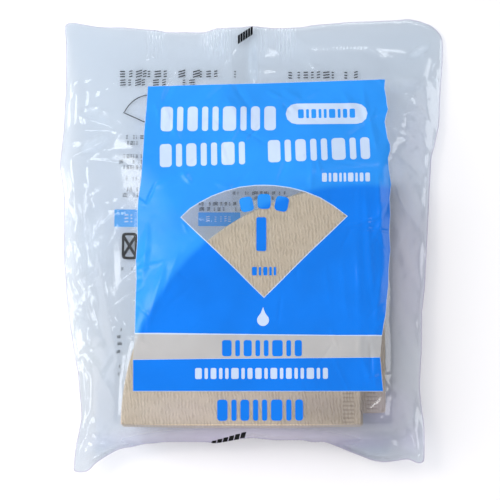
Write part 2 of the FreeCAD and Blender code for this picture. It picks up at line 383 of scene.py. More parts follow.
class FilmShape:
    """The two films of the bag as heights over its plan."""

    SEAL_LINE = 85.0
    SEAL_TOP = 95.0
    SKIN_ROUND = 2.3
    SKIN_LIFT = 0.1
    MOUTH_SEAL_GAP = 0.12
    PAPER_GAP = 0.12
    FLOOR_GAP = 0.35
    BACK_REACH = 14.0
    BACK_START = 12.5
    PACK_LIMIT = 26.98
    RIB_PITCH = 1.5
    RIB_RISE = 0.11
    RIB_STRETCHES = ((-16, 6), (15, 4.0), (-42, 4.5))
    # how steeply the front film leaves the rim, how much that varies, and over what width
    RIM_SLOPE = 0.44
    RIM_SLOPE_WAVE = 0.08
    RIM_REACH = 5.0
    RIM_FADE = 3.0
    RIM_ROLL = 0.1
    # nets of facets, coarse to fine: width, rise, how much longer than wide
    FACETS = ((15.0, 1.7, 1.5), (7.0, 0.62, 1.7), (3.4, 0.18, 1.2))
    SMALL_CREASES = 170

    def __init__(self, stack: Stack, bag: bpy.types.Object) -> None:
        """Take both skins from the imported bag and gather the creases.

        Args:
            stack: How the filters lie in the bag.
            bag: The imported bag's object.
        """
        self.stack = stack
        self.lattice = Lattice()
        self.outline = round_line(np.array(OUTLINE), 0.7)
        self.random = np.random.default_rng(SEED)
        grid = self.lattice.points()
        shape = self.lattice.x.shape
        gap = np.full(len(grid), 1e9)
        for start in range(0, len(self.outline), 40):
            ends = self.outline[start:start + 40]
            gap = np.minimum(gap, np.linalg.norm(grid[:, None] - ends[None], axis=2).min(axis=1))
        self.edge_gap = np.where(inside(grid, self.outline), gap, -gap).reshape(shape)
        self.edge = self._edge_heights(grid).reshape(shape)
        self.front = self._front_skin(bag)
        self.back = self._back_skin(grid).reshape(shape)
        self.creases = self._placed_creases() + self._random_creases()
        self.facets = {side: [self._facet_tree(*sizes) for sizes in self.FACETS] for side in (1, -1)}

    def _front_skin(self, bag: bpy.types.Object) -> np.ndarray:
        """Take the front film from the solid and carry its slope on to the wavy rim.

        Args:
            bag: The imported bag's object.

        Returns:
            Heights, one a grid point.
        """
        y = self.lattice.y
        over = self.lattice.blur(self.lattice.probe(bag, True, self.edge), self.SKIN_ROUND)
        over += self.SKIN_LIFT * smooth_step(self.edge_gap, 2.0, 12.0)
        steep = self.RIM_SLOPE + self.RIM_SLOPE_WAVE * np.sin(y / 9.7) * np.sin(y / 4.3 + 1)
        near = np.clip(self.edge_gap, 0, self.RIM_REACH) * (1 - smooth_step(y, 70, 84))
        slope = self.edge + steep * near
        return 0.5 * (over + slope + np.sqrt((over - slope) ** 2 + 0.1)) - 0.1

    def _back_skin(self, points: np.ndarray) -> np.ndarray:
        """Lay the back film flat on the table under the filters, rising to the rim round them.

        Args:
            points: Places in plan.

        Returns:
            Heights, one a place.
        """
        offset = points - np.array(self.stack.apex)
        past_arc = np.linalg.norm(offset, axis=1) - self.stack.side
        beside = np.maximum(np.maximum(offset[:, 0], -offset[:, 1]), past_arc)
        free = np.clip(beside - self.BACK_START, 0.1, self.BACK_REACH)
        gap = np.clip(self.edge_gap.ravel(), 0, None)
        share = np.clip(gap / (gap + free), 0, 1)
        return self.FLOOR_GAP + (self.edge.ravel() - self.FLOOR_GAP) * (1 - share) ** 1.6

    @staticmethod
    def _edge_heights(points: np.ndarray) -> np.ndarray:
        """Raise the bag's rim: low at the mouth, half the stack's height at its nose.

        Args:
            points: Places in plan.

        Returns:
            Heights, one a place.
        """
        x, y = points[:, 0], points[:, 1]
        height = 6.3 - 0.0454 * y
        wave = 0.6 * np.sin(y / 9.1 + x / 31) * np.sin(y / 23.7 + 1)
        droop = np.clip(-87 - y, 0, None) * 0.14
        corner = smooth_step(np.abs(x), 55, 80) * smooth_step(y, 60, 96)
        return height + wave * (1 - smooth_step(y, 70, 85)) - droop - corner * 0.8

    def _placed_creases(self) -> list[Crease]:
        """The folds that can be told apart in the view."""
        rows = (
            # the fan at the left side
            (-76, 55.4, -55, 46.0, 1.5, 5.0), (-68, 60, -55, 48, 0.8, 3.2),
            (-77, 49, -57, 47, -0.7, 3.6), (-80, 35.5, -57, 45.8, 1.5, 5.5),
            (-76, 32, -60, 43, -0.6, 3.5), (-80, 43, -62, 45, 0.6, 3.0),
            # the crumple under it
            (-78, 24, -72, 5, 1.0, 3.4), (-74, 18, -70, -2, -0.9, 3.0), (-71, 12, -67, -6, 0.9, 3.2),
            (-79, 6, -70, -12, 1.0, 4.0), (-66, -5, -56.5, -54, 1.2, 3.6),
            (-76, -5, -66, -41, 1.1, 4.6),
            (-79.5, -12, -72, -28, -1.0, 3.4), (-70, -24, -61, -47, -0.9, 4.0),
            (-66, -56, -57, -70, 1.0, 3.0), (-72, -46, -62, -62, 0.8, 4.0),
            (-60, 6, -58, -30, 0.7, 3.6), (-77, -30, -66, -36, 0.8, 3.2),
            (-76, -18, -64, -12, -0.8, 3.4), (-72, -52, -70, -78, 0.6, 3.0),
            # the right side
            (60, 66, 77, 60, 0.8, 4.0), (58, 53.5, 80, 57, 0.8, 4.2), (60, 44, 78, 38, 0.9, 4.0),
            (61, 35, 77, 28, 0.8, 4.0), (58, 60, 72, 48, -0.6, 3.6), (64, 30, 75, 12, -0.7, 3.6),
            (62, 16, 74, 2, 0.8, 4.0), (62, -4, 72, -24, 0.7, 3.6), (60, 10, 66, -22, 0.5, 3.4),
            (61, -26, 71, -40, -0.6, 3.6), (62, -38, 70, -58, 0.7, 3.4), (79.5, 80, 80, 66, 0.8, 2.4),
            (73, 85, 76.5, 76, 0.7, 2.6), (66, 84, 79, 78, -0.5, 3.0),
            # loose folds over the right of the panel, and a few over its left
            (47, 24, 51, -34, 0.42, 2.6), (52.5, 30, 55, -10, 0.4, 2.2), (42, 10, 45, -30, 0.32, 2.8),
            (37, -8, 40, -40, 0.3, 2.6), (54, -14, 51, -40, 0.42, 2.4), (45, -50, 50, -64, 0.42, 2.4),
            (49, -52, 52, -66, 0.36, 2.0), (30, -10, 33, -34, 0.24, 2.4), (48, 62, 53, 34, 0.5, 2.8),
            (38, 66, 46, 50, 0.4, 3.0), (-36, -8, -44, -40, 0.36, 2.4), (-30, -4, -39, -30, 0.28, 2.2),
            (-44, 8, -47, -24, 0.5, 2.6), (-40, 62, -30, 40, 0.4, 3.4), (-12, 64, -4, 46, 0.36, 3.2),
            (12, 66, 22, 60, 0.4, 2.6), (24, -58, 27, -66, 0.2, 1.8), (36, 26, 52, 22, 0.3, 2.4),
            # short sharp creases in the right wing
            (62, 48, 69, 42, 0.5, 1.0), (66, 46, 72, 41, -0.5, 1.0), (70, 50, 76, 44, 0.5, 1.0),
            (61, 58, 70, 59.5, 0.5, 1.0), (64, 62, 74, 60, 0.5, 1.1), (66, 33, 73, 27, 0.45, 1.0),
            (72, 70, 78, 66, 0.45, 1.0), (60, 24, 65, 10, 0.5, 1.2), (66, 76, 72, 68, 0.4, 1.0),
            (60, 52, 70, 55, 0.7, 1.6), (62, 40, 74, 46, 0.6, 1.8), (68, 62, 78, 50, 0.6, 1.8),
            (60, 64, 66, 50, 0.6, 1.8), (64, 36, 72, 42, -0.6, 1.6), (62, 20, 72, 30, 0.5, 1.8),
            (60, 0, 68, 8, 0.5, 1.8), (62, -20, 70, -12, 0.5, 1.8), (60, -44, 68, -34, 0.5, 1.8),
            (74, 86, 77, 78, 0.6, 1.2), (70, 84, 72, 79, 0.5, 1.0), (67, 60, 79, 64, -0.5, 1.6),
            # the mouth
            (-0.5, 92, 0.3, 66, 0.7, 1.8), (3.4, 92, 3.2, 70, -0.5, 2.0), (22, 82, 29, 74, 0.9, 1.8),
            (-30, 75.5, 24, 75, 0.5, 2.4), (-74, 84, -62, 76, 0.5, 2.4), (-60, 84, -44, 80, 0.4, 3.0),
            (36, 84, 46, 70, -0.4, 3.2), (-40, 84, -34, 66, 0.4, 3.0), (50, 85, 56, 66, 0.5, 3.4),
            (-79.5, 88, -79, 60, 0.6, 2.2), (-66, 72, -64, 40, 0.35, 4.5),
            # the bottom and its two ears
            (66, -78, 69, -94, 1.0, 2.4), (60, -80, 62, -93, -0.8, 2.4), (63, -70, 67, -88, 0.8, 2.6),
            (52, -84, 66, -90, 0.8, 2.4), (-60, -76, -71, -94, 1.0, 2.8),
            (-55, -84, -68, -95, -0.8, 2.6),
            (-67, -72, -72, -90, 0.9, 2.6), (-72, -80, -74, -96, 0.6, 2.0),
        )
        return [Crease(row[0:2], row[2:4], row[4], row[5]) for row in rows]

    def _random_creases(self) -> list[Crease]:
        """Small folds that the film has everywhere, shallow where it lies on the paper."""
        result = []
        while len(result) < self.SMALL_CREASES:
            middle = self.random.uniform((-82, -92), (82, 92))
            angle = self.random.uniform(0, math.pi)
            reach = self.random.uniform(3, 13)
            height = self.random.uniform(0.1, 0.55) * self.random.choice((-1.0, 1.0))
            width = self.random.uniform(0.8, 2.6)
            on_paper = self.stack.covers(middle[None], -3)[0]
            if on_paper:
                height *= 0.6
            way = np.array([math.cos(angle), math.sin(angle)]) * reach
            result.append(Crease(tuple(middle - way), tuple(middle + way), height, width))
        return result

    def _facet_tree(self, size: float, rise: float, stretch: float) -> BVHTree:
        """Lay out a net of flat facets that meet in sharp folds.

        Args:
            size: About how wide a facet is.
            rise: How far its corners stand above or below the film.
            stretch: How much longer than wide it is.

        Returns:
            A tree in which the net's height can be looked up.
        """
        rows, columns = int(230 / size / stretch), int(200 / size)
        x, y = np.meshgrid(np.linspace(-100, 100, columns), np.linspace(-115, 115, rows))
        flat = np.column_stack([x.ravel(), y.ravel()])
        flat += self.random.uniform(-0.42, 0.42, flat.shape) * (size, size * stretch)
        heights = self.random.uniform(-rise, rise, len(flat))
        found, _, faces, source, _, _ = delaunay_2d_cdt(
            [Vector(point) for point in flat.tolist()], [], [], 0, 1e-4, True
        )
        corners = [(spot.x, spot.y, heights[source[place][0]]) for place, spot in enumerate(found)]
        return BVHTree.FromPolygons(corners, faces)

    def _crumple(self, points: np.ndarray, side: int) -> np.ndarray:
        """Work out the film's small relief from the nets of facets.

        Args:
            points: Places in plan.
            side: 1 for the front film, -1 for the back one.

        Returns:
            The relief in millimetres, one value a place.
        """
        x, y = points[:, 0], points[:, 1]
        # the nets are bent a little, so that no fold runs quite straight
        moved = np.column_stack([
            x + 0.8 * np.sin(y / 7.3 + side) + 0.25 * np.sin(y / 3.1 + x / 9),
            y + 0.8 * np.sin(x / 6.1 + 2 * side) + 0.25 * np.sin(x / 2.7 - y / 8),
        ])
        relief = np.zeros(len(points))
        down = Vector((0, 0, -1))
        for tree in self.facets[side]:
            hits = [
                tree.ray_cast(Vector((across, along, 9.0)), down)[0] for across, along in moved.tolist()
            ]
            relief += np.array([0.0 if hit is None else hit.z for hit in hits])
        return relief

    @staticmethod
    def _crush(points: np.ndarray) -> np.ndarray:
        """Tell how badly the film is crushed.

        Args:
            points: Places in plan.

        Returns:
            One value a place, from 0 where the film is smooth to 1.
        """
        rows = (
            (-70, -4, 9, 24, 0.95), (-66, -42, 10, 16, 0.7), (-70, 44, 12, 12, 0.35),
            (-70, 78, 14, 14, 0.22), (68, 52, 11, 24, 0.85), (70, 82, 12, 10, 0.45),
            (68, 0, 9, 26, 0.6), (66, -55, 8, 18, 0.5), (66, -86, 10, 9, 0.6),
            (-68, -86, 9, 10, 0.5), (0, 78, 48, 9, 0.45), (48, 82, 20, 9, 0.4),
            (48, 0, 7, 26, 0.28), (-56, -60, 5, 12, 0.25),
        )
        total = np.full(len(points), 0.14)
        for across, along, wide, long, share in rows:
            far = ((points[:, 0] - across) / wide) ** 2 + ((points[:, 1] - along) / long) ** 2
            total = np.maximum(total, share * np.exp(-far / 1.6))
        return total

    def _ribs(self, points: np.ndarray) -> np.ndarray:
        """Press the serrated jaws' ribs along the mouth, stronger in some stretches.

        Args:
            points: Places in plan.

        Returns:
            The ribs' rise, one value a place.
        """
        x, y = points[:, 0], points[:, 1]
        band = smooth_step(y, self.SEAL_LINE - 1, self.SEAL_LINE)
        band *= 1 - smooth_step(y, self.SEAL_TOP - 1.5, self.SEAL_TOP)
        strong = sum(np.exp(-(((x - middle) / width) ** 2)) for middle, width in self.RIB_STRETCHES)
        share = 0.1 + 0.9 * np.clip(strong, 0, 1)
        return self.RIB_RISE * band * share * np.sin(2 * math.pi * x / self.RIB_PITCH)

    def heights(self, points: np.ndarray, front: bool) -> np.ndarray:
        """How high one of the films lies.

        Args:
            points: Places in plan.
            front: Ask for the printed film, else for the back film.

        Returns:
            Heights in millimetres.
        """
        gap = self.lattice.read(self.edge_gap, points)
        edge = self.lattice.read(self.edge, points)
        back = self.lattice.read(self.back, points)
        # the relief dies out towards the rim, over the paper and over the mouth's seal
        rim = smooth_step(gap, 0.0, self.RIM_FADE)
        on_paper = self.lattice.read(
            self.stack.covers(self.lattice.points(), -2).astype(float).reshape(self.edge.shape), points
        )
        sealed = smooth_step(points[:, 1], self.SEAL_LINE - 3, self.SEAL_LINE + 2)
        if not front:
            on_floor = 1 - smooth_step(back, 0.5, 3.0)
            relief = self._crumple(points, -1) * rim * (1 - 0.8 * on_floor) * (1 - 0.6 * sealed)
            lifted = np.where(gap > 0.4, back, edge) + relief * (0.1 + 0.6 * self._crush(points))
            lifted = np.maximum(lifted, self.FLOOR_GAP * 0.5)
            on_stack = self.stack.covers(points, 0.5, rear=True) | self.stack.covers(points, 0.5)
            under = np.minimum(lifted, self.stack.seat - 0.05)
            lifted = np.where(on_stack, under, lifted)
            return lifted + (1 - rim) * (edge - lifted) * (gap < self.RIM_FADE)
        skin = self.lattice.read(self.front, points)
        share = (1 - 0.75 * on_paper) * (1 - 0.6 * sealed) * self._crush(points)
        relief = self._crumple(points, 1) * share
        for crease in self.creases:
            relief += crease.heights(points) * (1 - 0.35 * on_paper)
        lifted = skin + relief * rim + self._ribs(points)
        # the film rests on the back film or on the paper, and bends softly where it meets them
        over_front = self.stack.covers(points, 0.3)
        over_rear = self.stack.covers(points, 0.3, rear=True) & ~over_front
        floor = np.where(over_front, self.stack.top + self.PAPER_GAP, back + self.MOUTH_SEAL_GAP)
        floor = np.where(over_rear, np.maximum(floor, self.stack.rear_top + self.PAPER_GAP), floor)
        soft = 0.5 * (lifted + floor + np.sqrt((lifted - floor) ** 2 + 0.02 + 0.06 * (1 - on_paper)))
        soft = np.minimum(soft, self.PACK_LIMIT)
        # the rim itself is a fold, rolled over within its last millimetre
        roll = self.RIM_ROLL * np.sqrt(np.clip(1 - (1 - np.clip(gap, 0, 0.9) / 0.9) ** 2, 0, 1))
        blend = smooth_step(gap, 0.0, 1.2)
        rolled = roll * blend * (1 - smooth_step(gap, 1.2, 4))
        return blend * soft + (1 - blend) * (edge + roll) + rolled


class Ink(Enum):
    """What a stretch of film carries."""

    RIM = "rim"
    CLEAR = "clear"
    BLUE = "blue"
    WHITE = "white"
    VEIL = "veil"
    PALE = "pale"
    DARK = "dark"


class Mark(Enum):
    """The plain shapes that stand in for print."""

    BLOCKS = "blocks"
    DASHES = "dashes"


@dataclass(frozen=True)
class Patch:
    """A closed outline in plan, filled with one ink."""

    outline: np.ndarray
    ink: Ink


@dataclass(frozen=True)
class MarkRow:
    """A row of plain marks along a line, as wide and high as the print there was."""

    start: tuple[float, float]
    end: tuple[float, float]
    height: float
    count: int
    ink: Ink
    mark: Mark = Mark.BLOCKS
    gap_share: float = 0.2

    WIDTHS = (1.0, 0.5, 0.85, 0.5, 0.5, 1.1, 0.5, 0.75, 0.95, 0.5)

    def patches(self) -> list[Patch]:
        """Draw the row's marks."""
        first, last = np.array(self.start), np.array(self.end)
        run = last - first
        turn = math.atan2(run[1], run[0])
        sizes = np.array([self.WIDTHS[place % len(self.WIDTHS)] for place in range(self.count)])
        gap = self.gap_share
        unit = np.linalg.norm(run) / (sizes.sum() + gap * (self.count - 1))
        result, along = [], 0.0
        for size in sizes * unit:
            middle = first + run / np.linalg.norm(run) * (along + size / 2)
            middle = middle + np.array([0, self.height / 2])
            along += size + gap * unit
            if self.mark is Mark.BLOCKS:
                corner = min(0.14 * self.height, 0.4 * size)
                result.append(Patch(bar(middle, (size, self.height), corner, turn), self.ink))
            else:
                result += self._dashes(middle, size, turn)
        return result

    def _dashes(self, middle: np.ndarray, width: float, turn: float) -> list[Patch]:
        """Draw up to three short dashes, one over the other.

        Args:
            middle: The middle that they lie round.
            width: How much room they have.
            turn: The row's direction, in radians.

        Returns:
            The dashes' outlines.
        """
        height, stroke = self.height, 0.13 * self.height + 0.05
        spread = np.sin(middle[0] * 12.9 + middle[1] * 78.2 + np.arange(12) * 37.7)
        result = []
        for level, up in enumerate((0.36, 0.0, -0.36)):
            if spread[level + 4] < -0.55:
                continue
            reach = width * (0.56 + 0.34 * spread[level])
            right, rise = 0.36 * spread[level + 3] * width, (up + 0.06 * spread[level + 6]) * height
            lean = turn + 0.3 * spread[level + 9]
            dash = bar(middle + np.array([right, rise]), (reach, stroke), stroke * 0.3, lean)
            result.append(Patch(dash, self.ink))
        return result


def bar(
    middle: np.ndarray, size: tuple[float, float], corner: float, turn: float = 0.0
) -> np.ndarray:
    """Draw a bar with round corners.

    Args:
        middle: The bar's middle.
        size: Its width and height.
        corner: The radius of its corners.
        turn: How far it is turned, in radians.

    Returns:
        The outline's points, anticlockwise.
    """
    half = np.array(size) / 2
    corner = min(corner, *(half * 0.98))
    points = []
    for quarter, (right, up) in enumerate(((1, 1), (-1, 1), (-1, -1), (1, -1))):
        for part in range(4):
            angle = math.pi / 2 * (quarter + part / 3)
            points.append((
                right * (half[0] - corner) + corner * math.cos(angle),
                up * (half[1] - corner) + corner * math.sin(angle),
            ))
    cos, sin = math.cos(turn), math.sin(turn)
    return np.array(points) @ np.array([[cos, sin], [-sin, cos]]) + middle


def grow(outline: np.ndarray, width: float) -> np.ndarray:
    """Move every point of an outline outwards.

    Args:
        outline: The outline's points in order.
        width: How far to move them, or less than nothing to draw them in.

    Returns:
        The moved points.
    """
    after, before = np.roll(outline, -1, axis=0), np.roll(outline, 1, axis=0)
    way = after - before
    way /= np.linalg.norm(way, axis=1)[:, None]
    turning = np.sum(outline[:, 0] * after[:, 1] - after[:, 0] * outline[:, 1])
    normal = np.column_stack([way[:, 1], -way[:, 0]]) * np.sign(turning)
    return outline + normal * width


def divide(outline: np.ndarray, spacing: float) -> np.ndarray:
    """Put points along an outline's sides.

    Args:
        outline: The outline's corners in order.
        spacing: The most that two points may lie apart.

    Returns:
        The corners and the points between them.
    """
    result = []
    for start, end in zip(outline, np.roll(outline, -1, axis=0)):
        count = max(1, math.ceil(np.linalg.norm(end - start) / spacing))
        share = np.arange(count)[:, None] / count
        result.append(start + (end - start) * share)
    return np.vstack(result)


def stroke_line(points: tuple[tuple[float, float], ...], width: float) -> np.ndarray:
    """Turn an open line into a thin closed outline.

    Args:
        points: The line's points.
        width: How wide the outline is.

    Returns:
        The outline's points in order.
    """
    line = np.array(points, float)
    way = np.gradient(line, axis=0)
    way /= np.linalg.norm(way, axis=1)[:, None]
    normal = np.column_stack([-way[:, 1], way[:, 0]]) * width / 2
    return np.vstack([line - normal, (line + normal)[::-1]])


class FrontPrint:
    """The blue field on the front film, its window, drop and rows of plain shapes."""

    PANEL = (
        (-45.2, 67.5), (-22.7, 68.0), (3.2, 68.5), (29, 69.4), (57.1, 70.3), (56.7, 66.0),
        (57.3, 61.5), (57.5, 58.0), (57.9, 55.8), (57.0, 53.2), (56.3, 50.0), (56.8, 46.0),
        (57.2, 42.5), (58.2, 39.6), (58.3, 37.0), (57.2, 33.0), (57.5, 28.0), (58.4, 22.0),
        (57.7, 16.0), (57.9, 9.0), (57.4, 2.0), (57.8, -6.2), (57.0, -14.0), (56.8, -21.0),
        (56.0, -28.0), (55.6, -33.0), (54.6, -38.0), (54, -42.3), (36.4, -42.3), (19.7, -42.1),
        (-1.1, -41.9), (-22, -41.6), (-38.7, -41.4), (-49.2, -41.4), (-49.1, -27.3), (-48.9, -18),
        (-49.2, -10), (-48.6, -1.3), (-48.9, 9), (-48.6, 16.2), (-47.5, 24.9), (-47.1, 31),
        (-46.7, 38.2), (-46.4, 47), (-45.7, 56.4),
    )
    BAND = (
        (-49.9, -52.7), (-49.8, -65.7), (-21.9, -65.7), (3, -65.7), (28, -65.7), (54.2, -65.7),
        (53.1, -51.7), (28, -51.9), (3, -52.1), (-22, -52.3),
    )
    WINDOW = (
        (-30.2, 8.1), (-26.4, 11.5), (-22.2, 14.2), (-17.2, 16.8), (-11.7, 18.9), (-5.4, 20.5),
        (1, 21.1), (4.8, 21.1), (9.4, 20.8), (15.7, 19.9), (22, 18.2), (28.3, 15.6), (33.8, 12.2),
        (39.6, 8), (32.5, 1.2), (24, -6.9), (15.6, -15.3), (9.3, -21.7), (4.7, -26.3),
        (0.1, -21.7), (-7.4, -14.1), (-15.8, -6), (-23, 0.8),
    )
    PANEL_LINE = 0.16
    WINDOW_LINE = 0.36

    def patches(self) -> list[Patch]:
        """Every filled outline, in the order in which they cover each other."""
        panel, band = np.array(self.PANEL, float), np.array(self.BAND, float)
        window = np.array(self.WINDOW, float)
        blue, white = Ink.BLUE, Ink.WHITE
        veil = np.array([(-49.3, -40.5), (-49.9, -53.5), (53.1, -52.5), (54.2, -40.5)])
        edging = np.array([(-49.4, -41.0), (-49.5, -41.9), (53.9, -42.8), (54.2, -41.6)])
        result = [
            Patch(veil, Ink.VEIL), Patch(edging, white),
            Patch(grow(panel, self.PANEL_LINE), white), Patch(panel, blue),
            Patch(grow(band, self.PANEL_LINE), white), Patch(band, blue),
            Patch(grow(window, self.WINDOW_LINE), white), Patch(window, Ink.CLEAR),
        ]
        rows = [
            MarkRow((-39.4, 46.6), (9.9, 46.4), 11.3, 9, white, gap_share=0.36),
            MarkRow((-39.6, 30.3), (-3.3, 31.0), 10.4, 7, white, gap_share=0.36),
            MarkRow((6.5, 31.6), (49.6, 32.6), 10.2, 8, white, gap_share=0.36),
            MarkRow((29.2, 22.6), (49.4, 22.7), 3.8, 9, white, gap_share=0.4),
        ]
        result += [patch for row in rows for patch in row.patches()]
        result.append(Patch(bar(np.array([31.6, 54.0]), (34.8, 9.8), 4.7, 0.0), white))
        rows = [
            MarkRow((19.4, 51.9), (43.8, 52.0), 4.3, 9, blue, gap_share=0.4),
            MarkRow((-0.3, -17.2), (9.8, -17.2), 3.6, 5, blue, gap_share=0.4),
            MarkRow((-12.8, -51.2), (20.5, -51.2), 6.8, 8, blue, gap_share=0.38),
            MarkRow((-24, -60.7), (31.3, -60.6), 4.6, 18, white, gap_share=0.42),
            MarkRow((-14.8, -78.1), (20.9, -78.0), 8.8, 8, blue, gap_share=0.36),
        ]
        result += [patch for row in rows for patch in row.patches()]
        for across, along, turn in ((-2.6, 13.0, 0.2), (4.8, 14.2, 0.0), (12.2, 13.2, -0.2)):
            result.append(Patch(bar(np.array([across, along]), (5.6, 6.4), 1.6, turn), blue))
        result.append(Patch(bar(np.array([3.6, 0.3]), (4.2, 14.4), 0.8), blue))
        result.append(Patch(self._drop(np.array([4.3, -36.0]), 2.5, 5.5), white))
        return result + self._register_marks()

    @staticmethod
    def _drop(middle: np.ndarray, radius: float, reach: float) -> np.ndarray:
        """Draw a falling drop: round below, drawn out to a point above.

        Args:
            middle: The middle of its round end.
            radius: The round end's radius.
            reach: How far its point stands over the middle.

        Returns:
            The outline's points in order.
        """
        points = [
            (radius * math.cos(angle), radius * math.sin(angle))
            for angle in np.linspace(-1.2 * math.pi, 0.2 * math.pi, 18)
        ]
        points += [(0.35 * radius, 0.55 * reach), (0.0, reach), (-0.35 * radius, 0.55 * reach)]
        return np.array(points) + middle

    @staticmethod
    def _register_marks() -> list[Patch]:
        """Draw the dark marks that the bag machine reads, at the mouth and at the bottom.

        Returns:
            Six leaning bars for each mark.
        """
        marks = (
            ((-6.4, 87.3), (1.1, 0.75), ((0, 0), (0.92, 0.63), (0.92, 4.5), (0, 3.9))),
            ((-17.9, -87.6), (2.5, 0.62), ((0, 0), (2.05, 0.3), (2.75, 2.3), (0.7, 2.0))),
        )
        return [
            Patch(np.array(start) + place * np.array(step) + np.array(corners), Ink.DARK)
            for start, step, corners in marks for place in range(6)
        ]


class BackPrint:
    """What shows through from the back film: rows of small marks, a line drawing and a field."""

    # rows of small print: left, right, foot, height, how many marks
    ROWS = (
        (-58.6, -6.4, 72.8, 3.2, 17), (-58.6, -22.9, 69.1, 3.0, 12), (15, 49.3, 72.3, 3.3, 11),
        (-57.5, -46.0, 45.6, 1.8, 7), (-57.0, -46.0, 43.0, 1.7, 7), (-58.3, -46.2, 37.2, 1.7, 8),
        (-58.5, -46.2, 34.7, 1.7, 8), (-58.3, -46.2, 32.3, 1.7, 8), (-57.4, -46.0, 27.4, 1.7, 7),
        (-57.0, -46.0, 22.6, 1.7, 7), (-56.8, -47.0, 20.1, 1.7, 6), (-57.1, -50.2, -11.8, 1.4, 5),
        (-26.0, -4.0, 16.6, 1.5, 13), (-24.0, -3.0, 14.3, 1.5, 12), (56.0, 59.0, 57.6, 1.2, 2),
        (-9.0, 14.0, 21.4, 1.3, 14), (0.0, 20.0, 19.2, 1.3, 12),
        (56.0, 59.4, 54.9, 1.2, 2), (56.0, 58.6, 52.3, 1.2, 2), (-58.6, -56.2, -38.0, 1.2, 2),
        (-58.8, -55.8, -41.0, 1.2, 2), (-58.6, -56.0, -44.0, 1.2, 2), (-58.9, -56.4, -47.4, 1.2, 2),
        (-59.8, -56.4, -53.6, 1.2, 2), (-60.0, -57.0, -57.0, 1.2, 2),
    )
    PEN = 0.38

    def patches(self) -> list[Patch]:
        """Every filled outline, in the order in which they cover each other."""
        result = []
        for left, right, low, height, count in self.ROWS:
            row = MarkRow((left, low), (right, low), height, count, Ink.DARK, Mark.DASHES, 0.12)
            result += row.patches()
        arc = [
            (-44.4 - 12.5 * math.sin(angle), 51.4 + 13.8 * math.cos(angle))
            for angle in np.linspace(0.05, 1.1, 9)
        ]
        side = ((-56.2, 57.4), (-50.4, 54.8), (-44.4, 52.0))
        result += [Patch(stroke_line(line, self.PEN), Ink.DARK) for line in (tuple(arc), side)]
        for middle, size in (((-53.9, 10.9), (11.4, 7.6)), ((-14.4, 10.6), (18.2, 6.0))):
            result.append(Patch(bar(np.array(middle), size, 0.4), Ink.PALE))
        labels = (
            MarkRow((-56, 8.8), (-49, 8.8), 4.0, 3, Ink.WHITE, Mark.DASHES),
            MarkRow((-21, 9.4), (-7, 9.4), 2.6, 7, Ink.WHITE, Mark.DASHES),
        )
        result += [patch for label in labels for patch in label.patches()]
        crossed_box = (
            ((6.6, 11.6), 1.6, 0.0, Ink.DARK), ((4.4, 9.2), 1.0, 0.0, Ink.CLEAR),
            ((1.2, 11.0), 0.3, 0.55, Ink.DARK), ((1.2, 11.0), 0.3, -0.55, Ink.DARK),
        )
        middle = np.array([-53.0, -1.2])
        result += [
            Patch(bar(middle, size, corner, turn), ink) for size, corner, turn, ink in crossed_box
        ]
        return result


def make_mesh(name: str, points: np.ndarray, faces: np.ndarray | list) -> bpy.types.Object:
    """Build a smooth mesh object from places in millimetres.

    Args:
        name: The piece's name.
        points: One row a vertex, in millimetres.
        faces: The faces' vertex numbers.

    Returns:
        The object, linked into the scene.
    """
    mesh = bpy.data.meshes.new(name)
    corners = faces.tolist() if isinstance(faces, np.ndarray) else faces
    mesh.from_pydata((points * MM).tolist(), [], corners)
    mesh.polygons.foreach_set("use_smooth", [True] * len(mesh.polygons))
    mesh.update()
    item = bpy.data.objects.new(name, mesh)
    bpy.context.scene.collection.objects.link(item)
    return item


def dress(piece: bpy.types.Object, material: bpy.types.Material, node: str) -> None:
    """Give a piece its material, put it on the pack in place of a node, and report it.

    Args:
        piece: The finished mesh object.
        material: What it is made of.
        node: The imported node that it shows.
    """
    piece.data.materials.append(material)
    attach(piece, "root")
    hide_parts(node)
    LOG.info("%s: %d faces", piece.name, len(piece.data.polygons))


